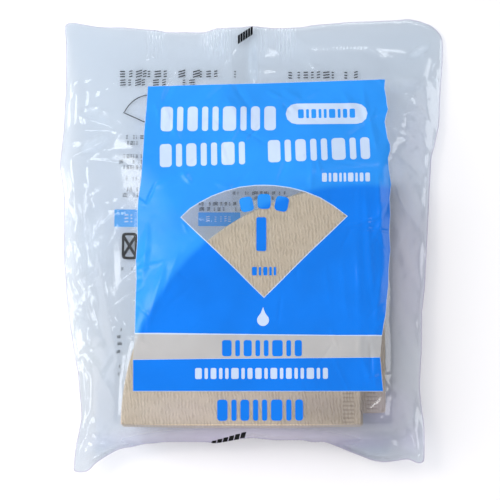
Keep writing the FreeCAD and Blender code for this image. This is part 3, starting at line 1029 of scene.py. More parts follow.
class FilmSheet:
    """One film of the bag as a mesh that is split along the edges of its print."""

    RIM_WIDTH = 0.45
    HALF_WIDTH = 84
    BOTTOM = -100
    TOP = 99
    # rows over the ribbed seal, and how many points each rib gets
    RIB_ROW = 0.9
    RIB_POINTS = 5
    # how clear of the rim and of the lines' points (a share of the spacing) the others stay
    RIM_CLEAR = 0.3
    LINE_CLEAR = 0.45

    def __init__(self, shape: FilmShape, front: bool, spacing: float, patches: list[Patch]) -> None:
        """Keep what the sheet is made from.

        Args:
            shape: The two films' heights.
            front: Make the printed film, else the back one.
            spacing: How far apart the mesh's points lie, in millimetres.
            patches: The print, in the order in which it covers.
        """
        self.shape = shape
        self.front = front
        self.spacing = spacing
        self.patches = [Patch(grow(shape.outline, -self.RIM_WIDTH), Ink.CLEAR)] + patches

    def _lines(self) -> tuple[np.ndarray, list[tuple[int, int]]]:
        """Gather the lines that the mesh must follow, of the bag's outline and of every patch.

        Returns:
            The points, and the pairs of points that a side joins.
        """
        outlines = [self.shape.outline]
        outlines += [divide(patch.outline, self.spacing) for patch in self.patches]
        edges, start = [], 0
        for outline in outlines:
            count = len(outline)
            edges += [(start + place, start + (place + 1) % count) for place in range(count)]
            start += count
        return np.vstack(outlines), edges

    def _fill(self, lines: np.ndarray) -> np.ndarray:
        """Put points inside the bag, in rows that are set off from each other.

        Args:
            lines: The points of the lines, which the new ones stay clear of.

        Returns:
            The points.
        """
        rows = []
        for low, high, step, rise in (
            (self.BOTTOM, FilmShape.SEAL_LINE, self.spacing, self.spacing * math.sqrt(0.75)),
            (FilmShape.SEAL_LINE, self.TOP, FilmShape.RIB_PITCH / self.RIB_POINTS, self.RIB_ROW),
        ):
            for number, along in enumerate(np.arange(low, high, rise)):
                across = np.arange(-self.HALF_WIDTH, self.HALF_WIDTH, step) + (number % 2) * step / 2
                rows.append(np.column_stack([across, np.full(len(across), along)]))
        points = np.vstack(rows)
        gap = self.shape.lattice.read(self.shape.edge_gap, points)
        points = points[inside(points, self.shape.outline) & (gap > self.RIM_CLEAR)]
        cell = self.spacing * self.LINE_CLEAR
        taken = set()
        for right in (-1, 0, 1):
            for up in (-1, 0, 1):
                cells = np.floor(lines / cell).astype(int) + (right, up)
                taken.update(map(tuple, cells.tolist()))
        cells = map(tuple, np.floor(points / cell).astype(int).tolist())
        free = np.array([spot not in taken for spot in cells])
        return points[free]

    def build(self) -> dict[Ink, bpy.types.Object]:
        """Triangulate the sheet and make one piece for each ink.

        Returns:
            The pieces by ink.
        """
        lines, edges = self._lines()
        flat = np.vstack([lines, self._fill(lines)])
        vectors = [Vector(point) for point in flat.tolist()]
        found, _, faces, _, _, _ = delaunay_2d_cdt(vectors, edges, [], 0, 1e-4, False)
        flat = np.array([tuple(point) for point in found])
        triangles = np.array([face for face in faces if len(face) == 3])
        middles = flat[triangles].mean(axis=1)
        within = inside(middles, self.shape.outline)
        triangles, middles = triangles[within], middles[within]
        points = np.column_stack([flat, self.shape.heights(flat, self.front)])
        labels = np.array([Ink.RIM] * len(triangles), dtype=object)
        for patch in self.patches:
            labels[inside(middles, patch.outline)] = patch.ink
        normals = self._normals(points, triangles)
        side = "front" if self.front else "back"
        pieces = {}
        for ink in Ink:
            chosen = triangles[labels == ink]
            if not len(chosen):
                continue
            used, numbers = np.unique(chosen, return_inverse=True)
            name = f"film_{side}_{ink.value}"
            item = make_mesh(name, points[used], numbers.reshape(-1, 3))
            item.data.normals_split_custom_set_from_vertices(normals[used].tolist())
            pieces[ink] = item
        return pieces

    @staticmethod
    def _normals(points: np.ndarray, triangles: np.ndarray) -> np.ndarray:
        """Smooth the whole sheet's normals, so that its pieces shade as one.

        Args:
            points: The mesh's points.
            triangles: Its faces' point numbers.

        Returns:
            One normal a point.
        """
        corners = points[triangles]
        facing = np.cross(corners[:, 1] - corners[:, 0], corners[:, 2] - corners[:, 0])
        normals = np.zeros_like(points)
        for corner in range(3):
            np.add.at(normals, triangles[:, corner], facing)
        return normals / np.maximum(np.linalg.norm(normals, axis=1), 1e-12)[:, None]


class Finish:
    """A surface's material, built from nodes. Each finish below has its own surface."""

    name: str

    def surface(self, tree: Tree) -> Node:
        """Build the finish's shader.

        Args:
            tree: The material's node tree.

        Returns:
            The node that gives the whole shader.
        """
        raise NotImplementedError

    def build(self) -> bpy.types.Material:
        """Make the material."""
        material = bpy.data.materials.new(self.name)
        material.use_nodes = True
        material.node_tree.nodes.clear()
        surface = self.surface(material.node_tree)
        add_node(material.node_tree, "OutputMaterial", {"Surface": surface})
        return material


@dataclass(frozen=True)
class FilmGloss:
    """The gloss of cast film: sharp, bright at the folds, with lamp light passing through."""

    passes: str = "EBEFF3"
    roughness: float = 0.14
    strength: float = 1.8
    ior: float = 1.5

    STRETCH_SCALE = 330.0
    STRETCH_DEPTH = 0.08 * MM

    def over(self, tree: Tree, place: Socket, body: Node) -> Node:
        """Lay the gloss over a shader.

        Args:
            tree: The film's node tree.
            place: Where on the pack a point is.
            body: The shader of the film or of the ink in it.

        Returns:
            The shader of the whole film.
        """
        # stretch marks of the film, about 3 mm across
        ripple = add_node(
            tree, "TexNoise", {"Vector": place, "Scale": self.STRETCH_SCALE, "Detail": 2.0}
        )
        bump = add_node(
            tree, "Bump", {"Height": ripple, "Distance": self.STRETCH_DEPTH, "Strength": 0.6}
        )
        shine = add_node(tree, "BsdfGlossy", {"Roughness": self.roughness, "Normal": bump})
        fresnel = add_node(tree, "Fresnel", {"IOR": self.ior, "Normal": bump})
        # both faces of the film reflect
        share = add_node(
            tree, "Math", {0: fresnel, 1: self.strength}, operation="MULTIPLY", use_clamp=True
        )
        whole = add_node(tree, "MixShader", {"Fac": share, 1: body, 2: shine})
        # thin film scatters lamp light forward and casts hardly a shadow
        rays = add_node(tree, "LightPath")
        window = add_node(tree, "BsdfTransparent", {"Color": hex_to_linear(self.passes)})
        return add_node(tree, "MixShader", {"Fac": rays.outputs["Is Shadow Ray"], 1: whole, 2: window})


def toothed_bands(
    tree: Tree, across: Socket, along: Socket, bands: tuple, pitch: float, line: tuple[float, float]
) -> Node:
    """Draw fine lines within bands, as toothed jaws press them.

    Args:
        tree: The material's node tree.
        across: Where a point is across the bands.
        along: Where it is on the way in which the lines repeat.
        bands: Each band's middle, half width outside, half width inside and strength.
        pitch: How far the lines are apart.
        line: Where on the wave from -1 to 1 a line starts, and where it is full.

    Returns:
        The node that gives the lines' strength.
    """
    total = None
    for middle, outside, inner, strength in bands:
        offset = add_node(tree, "Math", {0: across, 1: middle}, operation="SUBTRACT")
        away = add_node(tree, "Math", {0: offset}, operation="ABSOLUTE")
        band = add_node(
            tree, "MapRange",
            {"Value": away, "From Min": outside, "From Max": inner, "To Max": strength},
        )
        if total is not None:
            band = add_node(tree, "Math", {0: total, 1: band}, operation="MAXIMUM")
        total = band
    turns = add_node(tree, "Math", {0: along, 1: 2 * math.pi / pitch}, operation="MULTIPLY")
    wave = add_node(tree, "Math", {0: turns}, operation="SINE")
    tooth = add_node(tree, "MapRange", {"Value": wave, "From Min": line[0], "From Max": line[1]})
    return add_node(tree, "Math", {0: total, 1: tooth}, operation="MULTIPLY")


@dataclass(frozen=True)
class ClearFilm(Finish):
    """Clear cast packaging film: thin, glossy, with a faint blue cast where layers add up."""

    name: str = "clear_film"
    tint: str = "EFF3F6"
    haze: float = 0.05
    haze_tint: str = "E6F0F9"
    painted_shade_lilac: str = "E4DEFA"
    painted_shade_tint: str = "C6CAD4"
    gloss: FilmGloss = FilmGloss()

    KNURL_PITCH = 1.6 * MM
    KNURL_LINE = (0.1, 0.9)
    KNURL_WHITE_AND_GLINT = 0.5
    KNURL_FOOT = (79.5 * MM, 87.5 * MM)
    KNURL_HEAD = (95.5 * MM, 93.5 * MM)
    # stretches of the mouth where the jaws bit: middle, half width, strength
    KNURLS = ((-0.016, 0.0075, 0.75), (0.0145, 0.0055, 0.6), (-0.0425, 0.005, 0.3), (0.004, 0.003, 0.3))
    KNURL_CORE = 0.4

    # where layers of film lie over each other or are pressed white, and where milky haze is painted in
    # as soft highlights and to lift shade: middle, half sizes, turn, share
    MILKY_AND_PAINTED_SHEEN = (
        (-68.0, 55.5, 12.0, 5.0, -0.45, 0.24), (-68.5, 42.5, 13.0, 4.6, 0.55, 0.24),
        (-70.0, -2.0, 11.0, 26.0, 0.0, 0.2), (-66.0, -50.0, 14.0, 34.0, 0.1, 0.16),
        (-76.0, -33.0, 8.0, 14.0, 0.0, 0.24), (0.5, 80.0, 4.0, 20.0, 0.0, 0.24),
        (20.0, 84.0, 14.0, 12.0, 0.5, 0.12), (-20.0, 84.0, 14.0, 12.0, 0.0, 0.14),
        (72.0, 84.0, 12.0, 4.0, 0.6, 0.2), (70.0, 48.0, 11.0, 30.0, 0.0, 0.14),
        (67.0, -12.0, 14.0, 56.0, 0.0, 0.24), (66.0, 69.0, 12.0, 5.0, 0.0, 0.24),
        (58.0, -72.0, 20.0, 16.0, 0.3, 0.24), (0.0, -70.0, 70.0, 9.0, 0.0, 0.14),
        (-30.0, -73.0, 44.0, 14.0, 0.0, 0.2), (-5.0, -85.0, 90.0, 8.0, 0.0, 0.7),
        (66.0, -84.0, 12.0, 12.0, 0.0, 0.22), (66.0, -84.0, 2.4, 13.0, 0.35, 0.24),
    )

    # painted shade: over the lower right of the paper, where folded film lies close, the film's
    # see-through colour is darkened
    PAINTED_SHADE_SPOTS = ((31.0, -73.0, 32.0, 14.0, 0.0, 0.75),)

    # where, from the upper left to the lower right, the haze turns from blue to lilac: a painted shade
    # colour on the side away from the key light
    LILAC_PAINTED_SHADE_RAMP = (-10 * MM, 60 * MM)

    @staticmethod
    def _spots(tree: Tree, place: Socket, rows: tuple, ground: Node | float) -> Node:
        """Spread soft spots over the film, the strongest of which counts.

        Args:
            tree: The film's node tree.
            place: Where on the pack a point is.
            rows: Each spot's middle, half sizes, turn and share.
            ground: The share between the spots.

        Returns:
            The node that gives the share.
        """
        flat = add_node(tree, "VectorMath", {0: place, 1: (1, 1, 0)}, operation="MULTIPLY")
        for across, along, wide, high, turn, share in rows:
            spot = add_node(
                tree, "Mapping",
                {"Vector": flat, "Location": (across * MM, along * MM, 0.0),
                 "Rotation": (0.0, 0.0, turn), "Scale": (wide * MM, high * MM, 1.0)},
                vector_type="TEXTURE",
            )
            away = add_node(tree, "VectorMath", {0: spot}, operation="LENGTH").outputs["Value"]
            fade = add_node(
                tree, "MapRange", {"Value": away, "To Min": share, "To Max": 0.0},
                interpolation_type="SMOOTHSTEP",
            )
            ground = add_node(tree, "Math", {0: ground, 1: fade}, operation="MAXIMUM")
        return ground

    def _knurl(self, tree: Tree, place: Socket) -> Node:
        """Whiten the film in fine upright lines along the mouth, where the hot jaws' teeth were: partly
        stress whitening, partly painted highlights of the ribs.

        Args:
            tree: The film's node tree.
            place: Where on the pack a point is.

        Returns:
            The node that gives the film's haze.
        """
        parts = add_node(tree, "SeparateXYZ", {0: place})
        bands = tuple(
            (middle, half, half * self.KNURL_CORE, strength) for middle, half, strength in self.KNURLS
        )
        total = toothed_bands(
            tree, parts.outputs[0], parts.outputs[0], bands, self.KNURL_PITCH, self.KNURL_LINE
        )
        for start, end in (self.KNURL_FOOT, self.KNURL_HEAD):
            fade = add_node(
                tree, "MapRange", {"Value": parts.outputs[1], "From Min": start, "From Max": end}
            )
            total = add_node(tree, "Math", {0: total, 1: fade}, operation="MULTIPLY")
        # white lines: stress whitening and painted rib highlights
        return add_node(
            tree, "Math", {0: total, 1: self.KNURL_WHITE_AND_GLINT, 2: self.haze},
            operation="MULTIPLY_ADD", use_clamp=True,
        )

    def surface(self, tree: Tree) -> Node:
        """Build the film: clear, milky in spots, glossy on both faces, with painted shade in a spot and
        a painted lilac shade towards the lower right. Some milky spots are painted highlights and
        lifted shade.

        Args:
            tree: The material's node tree.

        Returns:
            The node that gives the whole shader.
        """
        place = add_node(tree, "TexCoord").outputs["Object"]
        # painted shade: the see-through colour darkens inside the shade spot
        tint_with_painted_shade = add_node(
            tree, "Mix",
            {"Factor": self._spots(tree, place, self.PAINTED_SHADE_SPOTS, 0.0), 6: hex_to_linear(self.tint),
             7: hex_to_linear(self.painted_shade_tint)},
            data_type="RGBA",
        ).outputs[2]
        through = add_node(tree, "BsdfTransparent", {"Color": tint_with_painted_shade})
        # painted shade: the haze is painted lilac towards the lower right, the side away from the key
        # light
        lean = add_node(
            tree, "VectorMath", {0: place, 1: (1.0, -1.0, 0.0)}, operation="DOT_PRODUCT"
        ).outputs["Value"]
        start, end = self.LILAC_PAINTED_SHADE_RAMP
        warm = add_node(tree, "MapRange", {"Value": lean, "From Min": start, "From Max": end})
        cast = add_node(
            tree, "Mix",
            {"Factor": warm, 6: hex_to_linear(self.haze_tint), 7: hex_to_linear(self.painted_shade_lilac)},
            data_type="RGBA",
        ).outputs[2]
        # the haze scatters to both sides of the film
        facing = add_node(tree, "BsdfDiffuse", {"Color": cast})
        behind = add_node(tree, "BsdfTranslucent", {"Color": cast})
        milky = add_node(tree, "MixShader", {"Fac": 0.4, 1: facing, 2: behind})
        # milky spots: overlapped and pressed film, and also painted highlights and lifted shade
        spots = self._spots(tree, place, self.MILKY_AND_PAINTED_SHEEN, self._knurl(tree, place))
        body = add_node(tree, "MixShader", {"Fac": spots, 1: through, 2: milky})
        return self.gloss.over(tree, place, body)


@dataclass(frozen=True)
class PrintedFilm(Finish):
    """Gravure ink on the inside of the film: even colour under the film's gloss, except for the blue's
    painted shade over the filters.
    """

    name: str
    colour: str
    see_through: str
    cover: float = 0.85
    painted_shade_over_paper: str = ""
    gloss: FilmGloss = FilmGloss(passes="DADCE0", roughness=0.24, strength=0.7)

    LAY_SCALE = 45.0
    PAPER_EDGE = ((Stack.side - 1.2) * MM, (Stack.side + 2.2) * MM)

    def _ink_with_painted_backlight(self, tree: Tree, place: Socket) -> Socket | tuple[float, ...]:
        """Choose the ink's colour. With a second colour, the ink is painted deeper where the film lies
        on the filters and lighter where it stands free: painted shade and painted backlight for the
        light that comes through the ink from behind.

        Args:
            tree: The film's node tree.
            place: Where on the pack a point is.

        Returns:
            The colour, or the socket that gives it.
        """
        if not self.painted_shade_over_paper:
            return hex_to_linear(self.colour)[:3]
        # painted shade and backlight: deeper ink over the filters, lighter where bright space lies
        # behind
        flat = add_node(tree, "VectorMath", {0: place, 1: (1, 1, 0)}, operation="MULTIPLY")
        apex = (Stack.apex[0] * MM, Stack.apex[1] * MM, 0.0)
        away = add_node(tree, "VectorMath", {0: flat, 1: apex}, operation="DISTANCE").outputs["Value"]
        start, end = self.PAPER_EDGE
        free = add_node(
            tree, "MapRange", {"Value": away, "From Min": start, "From Max": end},
            interpolation_type="SMOOTHSTEP",
        )
        return add_node(
            tree, "Mix", {"Factor": free, 6: hex_to_linear(self.painted_shade_over_paper), 7: hex_to_linear(self.colour)},
            data_type="RGBA",
        ).outputs[2]

    def surface(self, tree: Tree) -> Node:
        """Build the printed film.

        Args:
            tree: The material's node tree.

        Returns:
            The node that gives the whole shader.
        """
        place = add_node(tree, "TexCoord").outputs["Object"]
        # the ink's lay varies a little over 20 to 30 mm
        cloud = add_node(tree, "TexNoise", {"Vector": place, "Scale": self.LAY_SCALE, "Detail": 2.0})
        shade = add_node(
            tree, "MapRange",
            {"Value": cloud, "From Min": 0.3, "From Max": 0.7, "To Min": 0.93, "To Max": 1.07},
        )
        colour = add_node(
            tree, "VectorMath", {0: self._ink_with_painted_backlight(tree, place), 1: shade}, operation="MULTIPLY"
        )
        matt = add_node(tree, "BsdfDiffuse", {"Color": colour})
        through = add_node(tree, "BsdfTransparent", {"Color": hex_to_linear(self.see_through)})
        body = add_node(tree, "MixShader", {"Fac": self.cover, 1: through, 2: matt})
        return self.gloss.over(tree, place, body)


@dataclass(frozen=True)
class CrepedPaper(Finish):
    """Unbleached creped filter paper: warm brown, matt, with fine ridges across the pulp."""

    name: str = "creped_paper"
    light: str = "F1E1CB"
    dark: str = "BFAE95"
    crimp_groove_shade: str = "7C7064"
    roughness: float = 0.92

    CREPE_SCALE = 225.0
    CREPE_DEPTH = 0.2 * MM
    BREAK_SCALE = 520.0
    CLOUD_SCALE = 200.0
    SEAM_PLACE = 5.6
    SEAM_HALF = (2.6 * MM, 2.0 * MM)
    SEAM_SHADE = 0.34
    SEAM_LINE = (0.2, -0.8)

    def _crimp_shade(self, tree: Tree, place: Socket) -> Node:
        """Darken the grooves of the crimped seams with painted shade, where the pulp is also pressed.

        Args:
            tree: The paper's node tree.
            place: Where on the pack a point is.

        Returns:
            The node that gives the grooves' shade.
        """
        parts = add_node(tree, "SeparateXYZ", {0: place})
        front = (Stack.apex[0] - self.SEAM_PLACE) * MM
        bands = tuple(
            (middle, *self.SEAM_HALF, self.SEAM_SHADE) for middle in (front, front + Stack.slip[0] * MM)
        )
        return toothed_bands(
            tree, parts.outputs[0], parts.outputs[1], bands, Leaf.CRIMP_PITCH * MM, self.SEAM_LINE
        )

    def surface(self, tree: Tree) -> Node:
        """Build the paper.

        Args:
            tree: The material's node tree.

        Returns:
            The node that gives the whole shader.
        """
        place = add_node(tree, "TexCoord").outputs["Object"]
        # crepe wrinkles run up the sheet in wavy lines about 1.4 mm apart, coarser than the
        # real 0.5 mm so that they show
        turned = add_node(
            tree, "Mapping", {"Vector": place, "Rotation": (0.0, 0.0, -0.1), "Scale": (1.0, 0.8, 1.0)}
        )
        waves = add_node(
            tree, "TexWave",
            {"Vector": turned, "Scale": self.CREPE_SCALE, "Distortion": 5.5, "Detail": 2.5,
             "Detail Scale": 1.8},
            bands_direction="X",
        ).outputs["Fac"]
        # they break off every 2 mm or so
        breaks = add_node(tree, "TexNoise", {"Vector": place, "Scale": self.BREAK_SCALE, "Detail": 1.0})
        joined = add_node(
            tree, "MapRange",
            {"Value": breaks, "From Min": 0.4, "From Max": 0.58, "To Min": 0.1, "To Max": 1.0},
        )
        crest = add_node(tree, "Math", {0: waves, 1: 0.5}, operation="SUBTRACT")
        wrinkle_relief_and_shade = add_node(tree, "Math", {0: crest, 1: joined}, operation="MULTIPLY")
        # pulp clouds, about 5 mm across
        clouds = add_node(tree, "TexNoise", {"Vector": place, "Scale": self.CLOUD_SCALE, "Detail": 3.0})
        ground = add_node(
            tree, "MapRange",
            {"Value": clouds, "From Min": 0.3, "From Max": 0.7, "To Min": 0.38, "To Max": 0.58},
        )
        # painted shade: the crepe's crests are painted lighter and its hollows darker, along with the
        # bump, among the pulp clouds
        blend = add_node(
            tree, "Math", {0: wrinkle_relief_and_shade, 1: 0.55, 2: ground}, operation="MULTIPLY_ADD", use_clamp=True
        )
        colour = add_node(
            tree, "Mix", {"Factor": blend, 6: hex_to_linear(self.dark), 7: hex_to_linear(self.light)},
            data_type="RGBA",
        ).outputs[2]
        # painted shade in the crimped seams' grooves
        crimped = add_node(
            tree, "Mix",
            {"Factor": self._crimp_shade(tree, place), 6: colour, 7: hex_to_linear(self.crimp_groove_shade)},
            data_type="RGBA",
        ).outputs[2]
        bump = add_node(
            tree, "Bump", {"Height": wrinkle_relief_and_shade, "Distance": self.CREPE_DEPTH, "Strength": 0.8}
        )
        return add_node(
            tree, "BsdfPrincipled",
            {"Base Color": crimped, "Roughness": self.roughness, "Normal": bump,
             "Specular IOR Level": 0.2},
        )


@dataclass(frozen=True)
class FloorSheet(Finish):
    """White matt studio paper under the pack."""

    name: str = "floor_sheet"
    colour: str = "FAFAFC"

    def surface(self, tree: Tree) -> Node:
        """Build the floor's even white."""
        return add_node(tree, "BsdfDiffuse", {"Color": hex_to_linear(self.colour)})


@dataclass
class FilmPack:
    """The bag: two films, the fin down its back and the seal turned down at its bottom."""

    shape: FilmShape
    front_spacing: float = 0.66
    back_spacing: float = 0.95
    fin: tuple[float, float, float, float] = (-9.0, 2.0, -75.0, 92.0)
    turned: tuple[float, float] = (-52.0, 52.0)

    def build(self) -> None:
        """Build and dress every piece of the bag."""
        finishes = {
            Ink.RIM: ClearFilm("rim_film", tint="E8E6EE", haze=0.14, gloss=FilmGloss(strength=0.8)),
            Ink.CLEAR: ClearFilm(),
            # the blue ink gets a painted deeper shade over the filters
            Ink.BLUE: PrintedFilm(
                "blue_print", "2692F4", "5AB4E6", cover=0.92, painted_shade_over_paper="0078EA",
                gloss=FilmGloss(passes="C8CACE", roughness=0.24, strength=0.7),
            ),
            Ink.PALE: PrintedFilm("pale_blue_print", "48AEFC", "9CDCF8", cover=0.85),
            Ink.WHITE: PrintedFilm("white_print", "C6D9F4", "E6F0FC", cover=0.88),
            Ink.VEIL: PrintedFilm("veil_print", "BCC0C5", "F0F0F0", cover=0.7),
            Ink.DARK: PrintedFilm(
                "dark_print", "06080C", "1A2028", cover=0.98,
                gloss=FilmGloss(passes="606468", roughness=0.24, strength=0.1),
            ),
        }
        materials = {ink: finish.build() for ink, finish in finishes.items()}
        fin_film = ClearFilm(
            "fin_film", tint="FFFFFF", haze=0.02, gloss=FilmGloss(passes="FFFFFF", strength=0.3)
        )
        front = FilmSheet(self.shape, True, self.front_spacing, FrontPrint().patches()).build()
        back = FilmSheet(self.shape, False, self.back_spacing, BackPrint().patches()).build()
        for sheet in (front, back):
            for ink, piece in sheet.items():
                dress(piece, materials[ink], "film_bag")
        dress(self._fin(), fin_film.build(), "film_bag")
        dress(self._turned_seal(), materials[Ink.CLEAR], "film_bag")

    def _fin(self) -> bpy.types.Object:
        """Make the back seal, turned to one side and pressed flat between film and table.

        Returns:
            The fin's mesh object.
        """
        left, right, low, high = self.fin
        across = np.linspace(left, right, 12)
        along = np.linspace(low, high, 168)
        x, y = np.meshgrid(across, along)
        flat = np.column_stack([x.ravel(), y.ravel()])
        over = self.shape.heights(flat, False)
        rise = np.minimum(over - 0.12, 0.5 * over)
        points = np.column_stack([flat, np.maximum(rise, 0.02)])
        return make_mesh("back_fin", points, strip_faces(len(along), len(across)))

    def _turned_seal(self) -> bpy.types.Object:
        """Make the bottom seal, which hangs from the nose down to the table in fine pleats.

        Returns:
            The seal's mesh object.
        """
        left, right = self.turned
        count = int((right - left) / FilmShape.RIB_PITCH * 6)
        across = np.linspace(left, right, count)
        nose = self.shape.outline[np.abs(self.shape.outline[:, 0]) < right + 6]
        nose = nose[nose[:, 1] < 0]
        nose = nose[np.argsort(nose[:, 0])]
        line = np.interp(across, nose[:, 0], nose[:, 1])
        top = self.shape.lattice.read(self.shape.edge, np.column_stack([across, line]))
        pleat = FilmShape.RIB_RISE * np.sin(2 * math.pi * across / FilmShape.RIB_PITCH)
        rows = []
        for share in np.linspace(0, 1, 9):
            height = top * (1 - share) + 0.15 * share
            place = line + pleat * min(1, share * 4) + 0.5 * share
            rows.append(np.column_stack([across, place, height]))
        return make_mesh("turned_seal", np.vstack(rows), strip_faces(len(rows), count))


def strip_faces(
    rows: int, columns: int, start: int = 0, flip: bool = False
) -> list[tuple[int, ...]]:
    """Number the four-sided faces of a grid of vertices.

    Args:
        rows: How many rows of vertices there are.
        columns: How many vertices a row has.
        start: The first vertex's number.
        flip: Turn the faces over.

    Returns:
        The faces' vertex numbers.
    """
    faces = []
    for row in range(rows - 1):
        for column in range(columns - 1):
            corner = start + row * columns + column
            face = (corner, corner + 1, corner + columns + 1, corner + columns)
            faces.append(face[::-1] if flip else face)
    return faces


@dataclass(frozen=True)
class Leaf:
    """One folded filter as a thin quarter disc with its point at the lower right."""

    apex: tuple[float, float]
    base: float
    thickness: float
    side: float = 100.0
    bow: float = 0.0
    wave: float = 0.0
    crimped: bool = False
    arc_steps: int = 34
    rows: int = 5

    SEAM_LEFT = 8.2
    SEAM_RIGHT = 3.0
    CRIMP_PITCH = 1.7
    CRIMP_RISE = 0.16

    def _columns(self) -> np.ndarray:
        """Tell how far left of the apex each column of vertices stands.

        Returns:
            One distance a column.
        """
        angles = np.linspace(math.radians(0.5), math.pi / 2, self.arc_steps)
        across = self.side * np.cos(angles)
        if self.crimped:
            across = np.concatenate([across[across > 9.5], np.arange(9, -0.1, -0.75)])
        return across

    def mesh_parts(self) -> tuple[np.ndarray, list[tuple[int, ...]]]:
        """Build the leaf.

        Returns:
            Its vertices, and its faces as vertex numbers.
        """
        across = self._columns()
        share = np.linspace(0, 1, self.rows)[:, None]
        reach = np.sqrt(np.clip(self.side**2 - across**2, 0, None))[None, :]
        fold = -self.bow * np.clip(1 - ((across - 50) / 50) ** 2, 0, 1)[None, :]
        x = np.broadcast_to(self.apex[0] - across, (self.rows, len(across)))
        y = self.apex[1] + fold + share * (reach - fold)
        lift = self._lift(x, y, np.broadcast_to(across, x.shape))
        top = np.column_stack([x.ravel(), y.ravel(), (self.base + self.thickness + lift).ravel()])
        flat_lift = np.minimum(lift, self.wave)
        low = np.column_stack([x.ravel(), y.ravel(), (self.base + 0.6 * flat_lift).ravel()])
        count, wide = len(top), len(across)
        faces = strip_faces(self.rows, wide) + strip_faces(self.rows, wide, count, flip=True)
        ring = list(range(wide)) + [row * wide + wide - 1 for row in range(1, self.rows)]
        ring += [(self.rows - 1) * wide + column for column in range(wide - 2, -1, -1)]
        ring += [row * wide for row in range(self.rows - 2, 0, -1)]
        for first, last in zip(ring, ring[1:] + ring[:1]):
            faces.append((first, first + count, last + count, last))
        return np.vstack([top, low]), faces

    def _lift(self, x: np.ndarray, y: np.ndarray, across: np.ndarray) -> np.ndarray:
        """Raise the face over a flat sheet by broad waves and the ribs of the crimped seam.

        Args:
            x: Where each vertex is from left to right.
            y: Where it is from bottom to top.
            across: How far left of the apex it is.

        Returns:
            The rise in millimetres.
        """
        wave = np.sin(x / 11 + y / 23) * np.sin(y / 17 - x / 29) + 0.5 * np.sin(x / 5.3 - y / 31)
        lift = self.wave * 0.5 * (1 + wave / 1.5)
        if self.crimped:
            band = smooth_step(across, self.SEAM_RIGHT - 0.4, self.SEAM_RIGHT + 0.3)
            band *= 1 - smooth_step(across, self.SEAM_LEFT - 0.3, self.SEAM_LEFT + 0.4)
            ridge = 0.5 + 0.5 * np.sin(2 * math.pi * y / self.CRIMP_PITCH)
            lift = lift + band * self.CRIMP_RISE * (ridge**1.5 - 0.4)
        return lift


@dataclass
class FilterStack:
    """The hundred filters: a slipped group, a pressed group and the loose ones on top."""

    stack: Stack
    slip: float = 0.35

    def build(self) -> None:
        """Build and dress every group of filters."""
        paper = CrepedPaper().build()
        plan = self.stack
        random = np.random.default_rng(SEED + 2)
        rear = (plan.apex[0] + plan.slip[0], plan.apex[1] + plan.slip[1])
        self._group("rear_filters", "rear_stack", rear, plan.seat, plan.rear_count, random, paper)
        self._group(
            "front_filters", "front_stack", plan.apex, plan.rear_top, plan.front_count, random, paper
        )
        for number in range(1, plan.loose_count + 1):
            side, rise = (number * 2) % 3 - 1, (number * 4) % 5 - 2
            apex = (plan.apex[0] + side * self.slip, plan.apex[1] + rise * self.slip / 2)
            base = plan.front_top + (number - 1) * plan.loose_leaf
            last = number == plan.loose_count
            leaf = Leaf(
                apex, base, plan.loose_leaf - 0.04, bow=0.35, crimped=last, wave=0.1 if last else 0.0,
                arc_steps=60 if last else 40, rows=300 if last else 8,
            )
            points, faces = leaf.mesh_parts()
            piece = make_mesh(f"loose_filter_{number:02d}", points, faces)
            dress(piece, paper, f"filter_{number:02d}")

    def _group(
        self, name: str, node: str, apex: tuple[float, float], seat: float, count: int,
        random: np.random.Generator, paper: bpy.types.Material,
    ) -> None:
        """Build one pressed group as a single piece of many leaves.

        Args:
            name: The piece's name.
            node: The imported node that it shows.
            apex: Where the filters' points lie in plan.
            seat: How high the lowest leaf lies.
            count: How many leaves there are.
            random: What shifts each leaf a little.
            paper: The leaves' material.
        """
        points, faces, start = [], [], 0
        for number in range(count):
            share = (number + 0.5) / count
            shift = random.uniform(-0.3, 0.3, 2)
            last = number == count - 1
            leaf = Leaf(
                (apex[0] + shift[0], apex[1] + shift[1]), seat + number * self.stack.leaf,
                self.stack.leaf - 0.03, bow=0.35 + 0.6 * math.sin(math.pi * share),
                crimped=last, rows=300 if last else 5,
            )
            leaf_points, leaf_faces = leaf.mesh_parts()
            points.append(leaf_points)
            faces += [tuple(corner + start for corner in face) for face in leaf_faces]
            start += len(leaf_points)
        dress(make_mesh(name, np.vstack(points), faces), paper, node)


@dataclass(frozen=True)
class Softbox:
    """A square studio light that faces the pack."""

    name: str
    place: tuple[float, float, float]
    size: float
    power: float
    colour: str = "FFFFFF"
    mirrored: bool = True
    lights: bool = True

    def build(self) -> None:
        """Hang the light and turn it to the pack."""
        data = bpy.data.lights.new(self.name, "AREA")
        data.shape = "SQUARE"
        data.size = self.size
        data.energy = self.power
        data.color = hex_to_linear(self.colour)[:3]
        lamp = bpy.data.objects.new(self.name, data)
        lamp.location = self.place
        lamp.visible_glossy = self.mirrored
        lamp.visible_diffuse = self.lights
        lamp.rotation_euler = (-Vector(self.place)).to_track_quat("-Z", "Y").to_euler()
        bpy.context.scene.collection.objects.link(lamp)


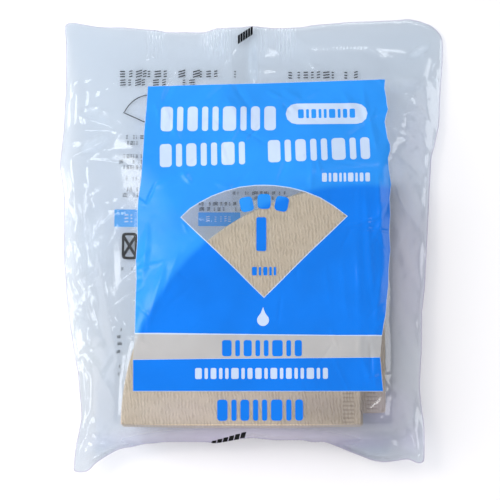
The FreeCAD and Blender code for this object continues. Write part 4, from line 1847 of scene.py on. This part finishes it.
@dataclass
class Studio:
    """The white table, the lights and the camera."""

    target: tuple[float, float, float] = (-0.00114, -0.00458, 0.013)
    distance: float = 1.0
    elevation: float = 82.0
    lens: float = 169.3
    sensor: float = 36.0
    floor_half: float = 3.0
    world_level: float = 0.54
    mirror_level: float = 0.3

    FLOOR_LEVEL = -0.1

    def build(self) -> None:
        """Set up the whole studio."""
        self._floor()
        self._world()
        for lamp in (
            Softbox("key_softbox", (-0.44, 0.16, 0.42), 0.4, 1.9, mirrored=False),
            Softbox("fill_softbox", (-0.12, -0.62, 0.6), 0.5, 1.6, "FAF2FA", mirrored=False),
            Softbox("high_glint", (-0.58, 0.24, 0.82), 0.3, 1.5),
            Softbox("top_glint", (0.15, 0.66, 0.78), 0.16, 0.4),
            Softbox("side_glint", (-0.9, 0.05, 0.55), 0.3, 1.4),
            Softbox("low_glint", (0.42, -0.3, 0.85), 0.14, 0.5),
            Softbox("right_glint", (0.8, 0.2, 0.5), 0.6, 3.6, lights=False),
        ):
            lamp.build()
        self._camera()
        bpy.context.scene.view_settings.view_transform = "Standard"

    def _floor(self) -> None:
        """Lay the white sheet."""
        half = self.floor_half / MM
        signs = ((-1, -1), (1, -1), (1, 1), (-1, 1))
        corners = np.array([(right * half, up * half, self.FLOOR_LEVEL) for right, up in signs])
        sheet = make_mesh("studio_floor", corners, [(0, 1, 2, 3)])
        sheet.data.materials.append(FloorSheet().build())

    def _world(self) -> None:
        """Surround the pack with even white light."""
        world = bpy.data.worlds.new("studio_world")
        world.use_nodes = True
        tree = world.node_tree
        tree.nodes.clear()
        light, seen, mirrored = (
            add_node(tree, "Background", {"Color": (1, 1, 1, 1), "Strength": level})
            for level in (self.world_level, 1.0, self.mirror_level)
        )
        rays = add_node(tree, "LightPath")
        lit = add_node(tree, "MixShader", {"Fac": rays.outputs["Is Glossy Ray"], 1: light, 2: mirrored})
        mix = add_node(tree, "MixShader", {"Fac": rays.outputs["Is Camera Ray"], 1: lit, 2: seen})
        add_node(tree, "OutputWorld", {"Surface": mix})
        bpy.context.scene.world = world

    def _camera(self) -> None:
        """Look down on the pack from a metre away."""
        data = bpy.data.cameras.new("view")
        data.sensor_width = self.sensor
        data.lens = self.lens
        camera = bpy.data.objects.new("view", data)
        angle = math.radians(self.elevation)
        away = Vector((0, -math.cos(angle), math.sin(angle))) * self.distance
        camera.location = Vector(self.target) + away
        camera.rotation_euler = (-away).to_track_quat("-Z", "Y").to_euler()
        bpy.context.scene.collection.objects.link(camera)
        bpy.context.scene.camera = camera


def main() -> None:
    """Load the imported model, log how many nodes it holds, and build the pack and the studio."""
    logging.basicConfig(level=logging.INFO, format="%(message)s")
    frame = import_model()
    LOG.info("packed nodes: %d", len(frame["nodes"]))
    stack = Stack()
    FilterStack(stack).build()
    FilmPack(FilmShape(stack, frame["nodes"]["film_bag"])).build()
    Studio().build()


if __name__ == "__main__":
    main()
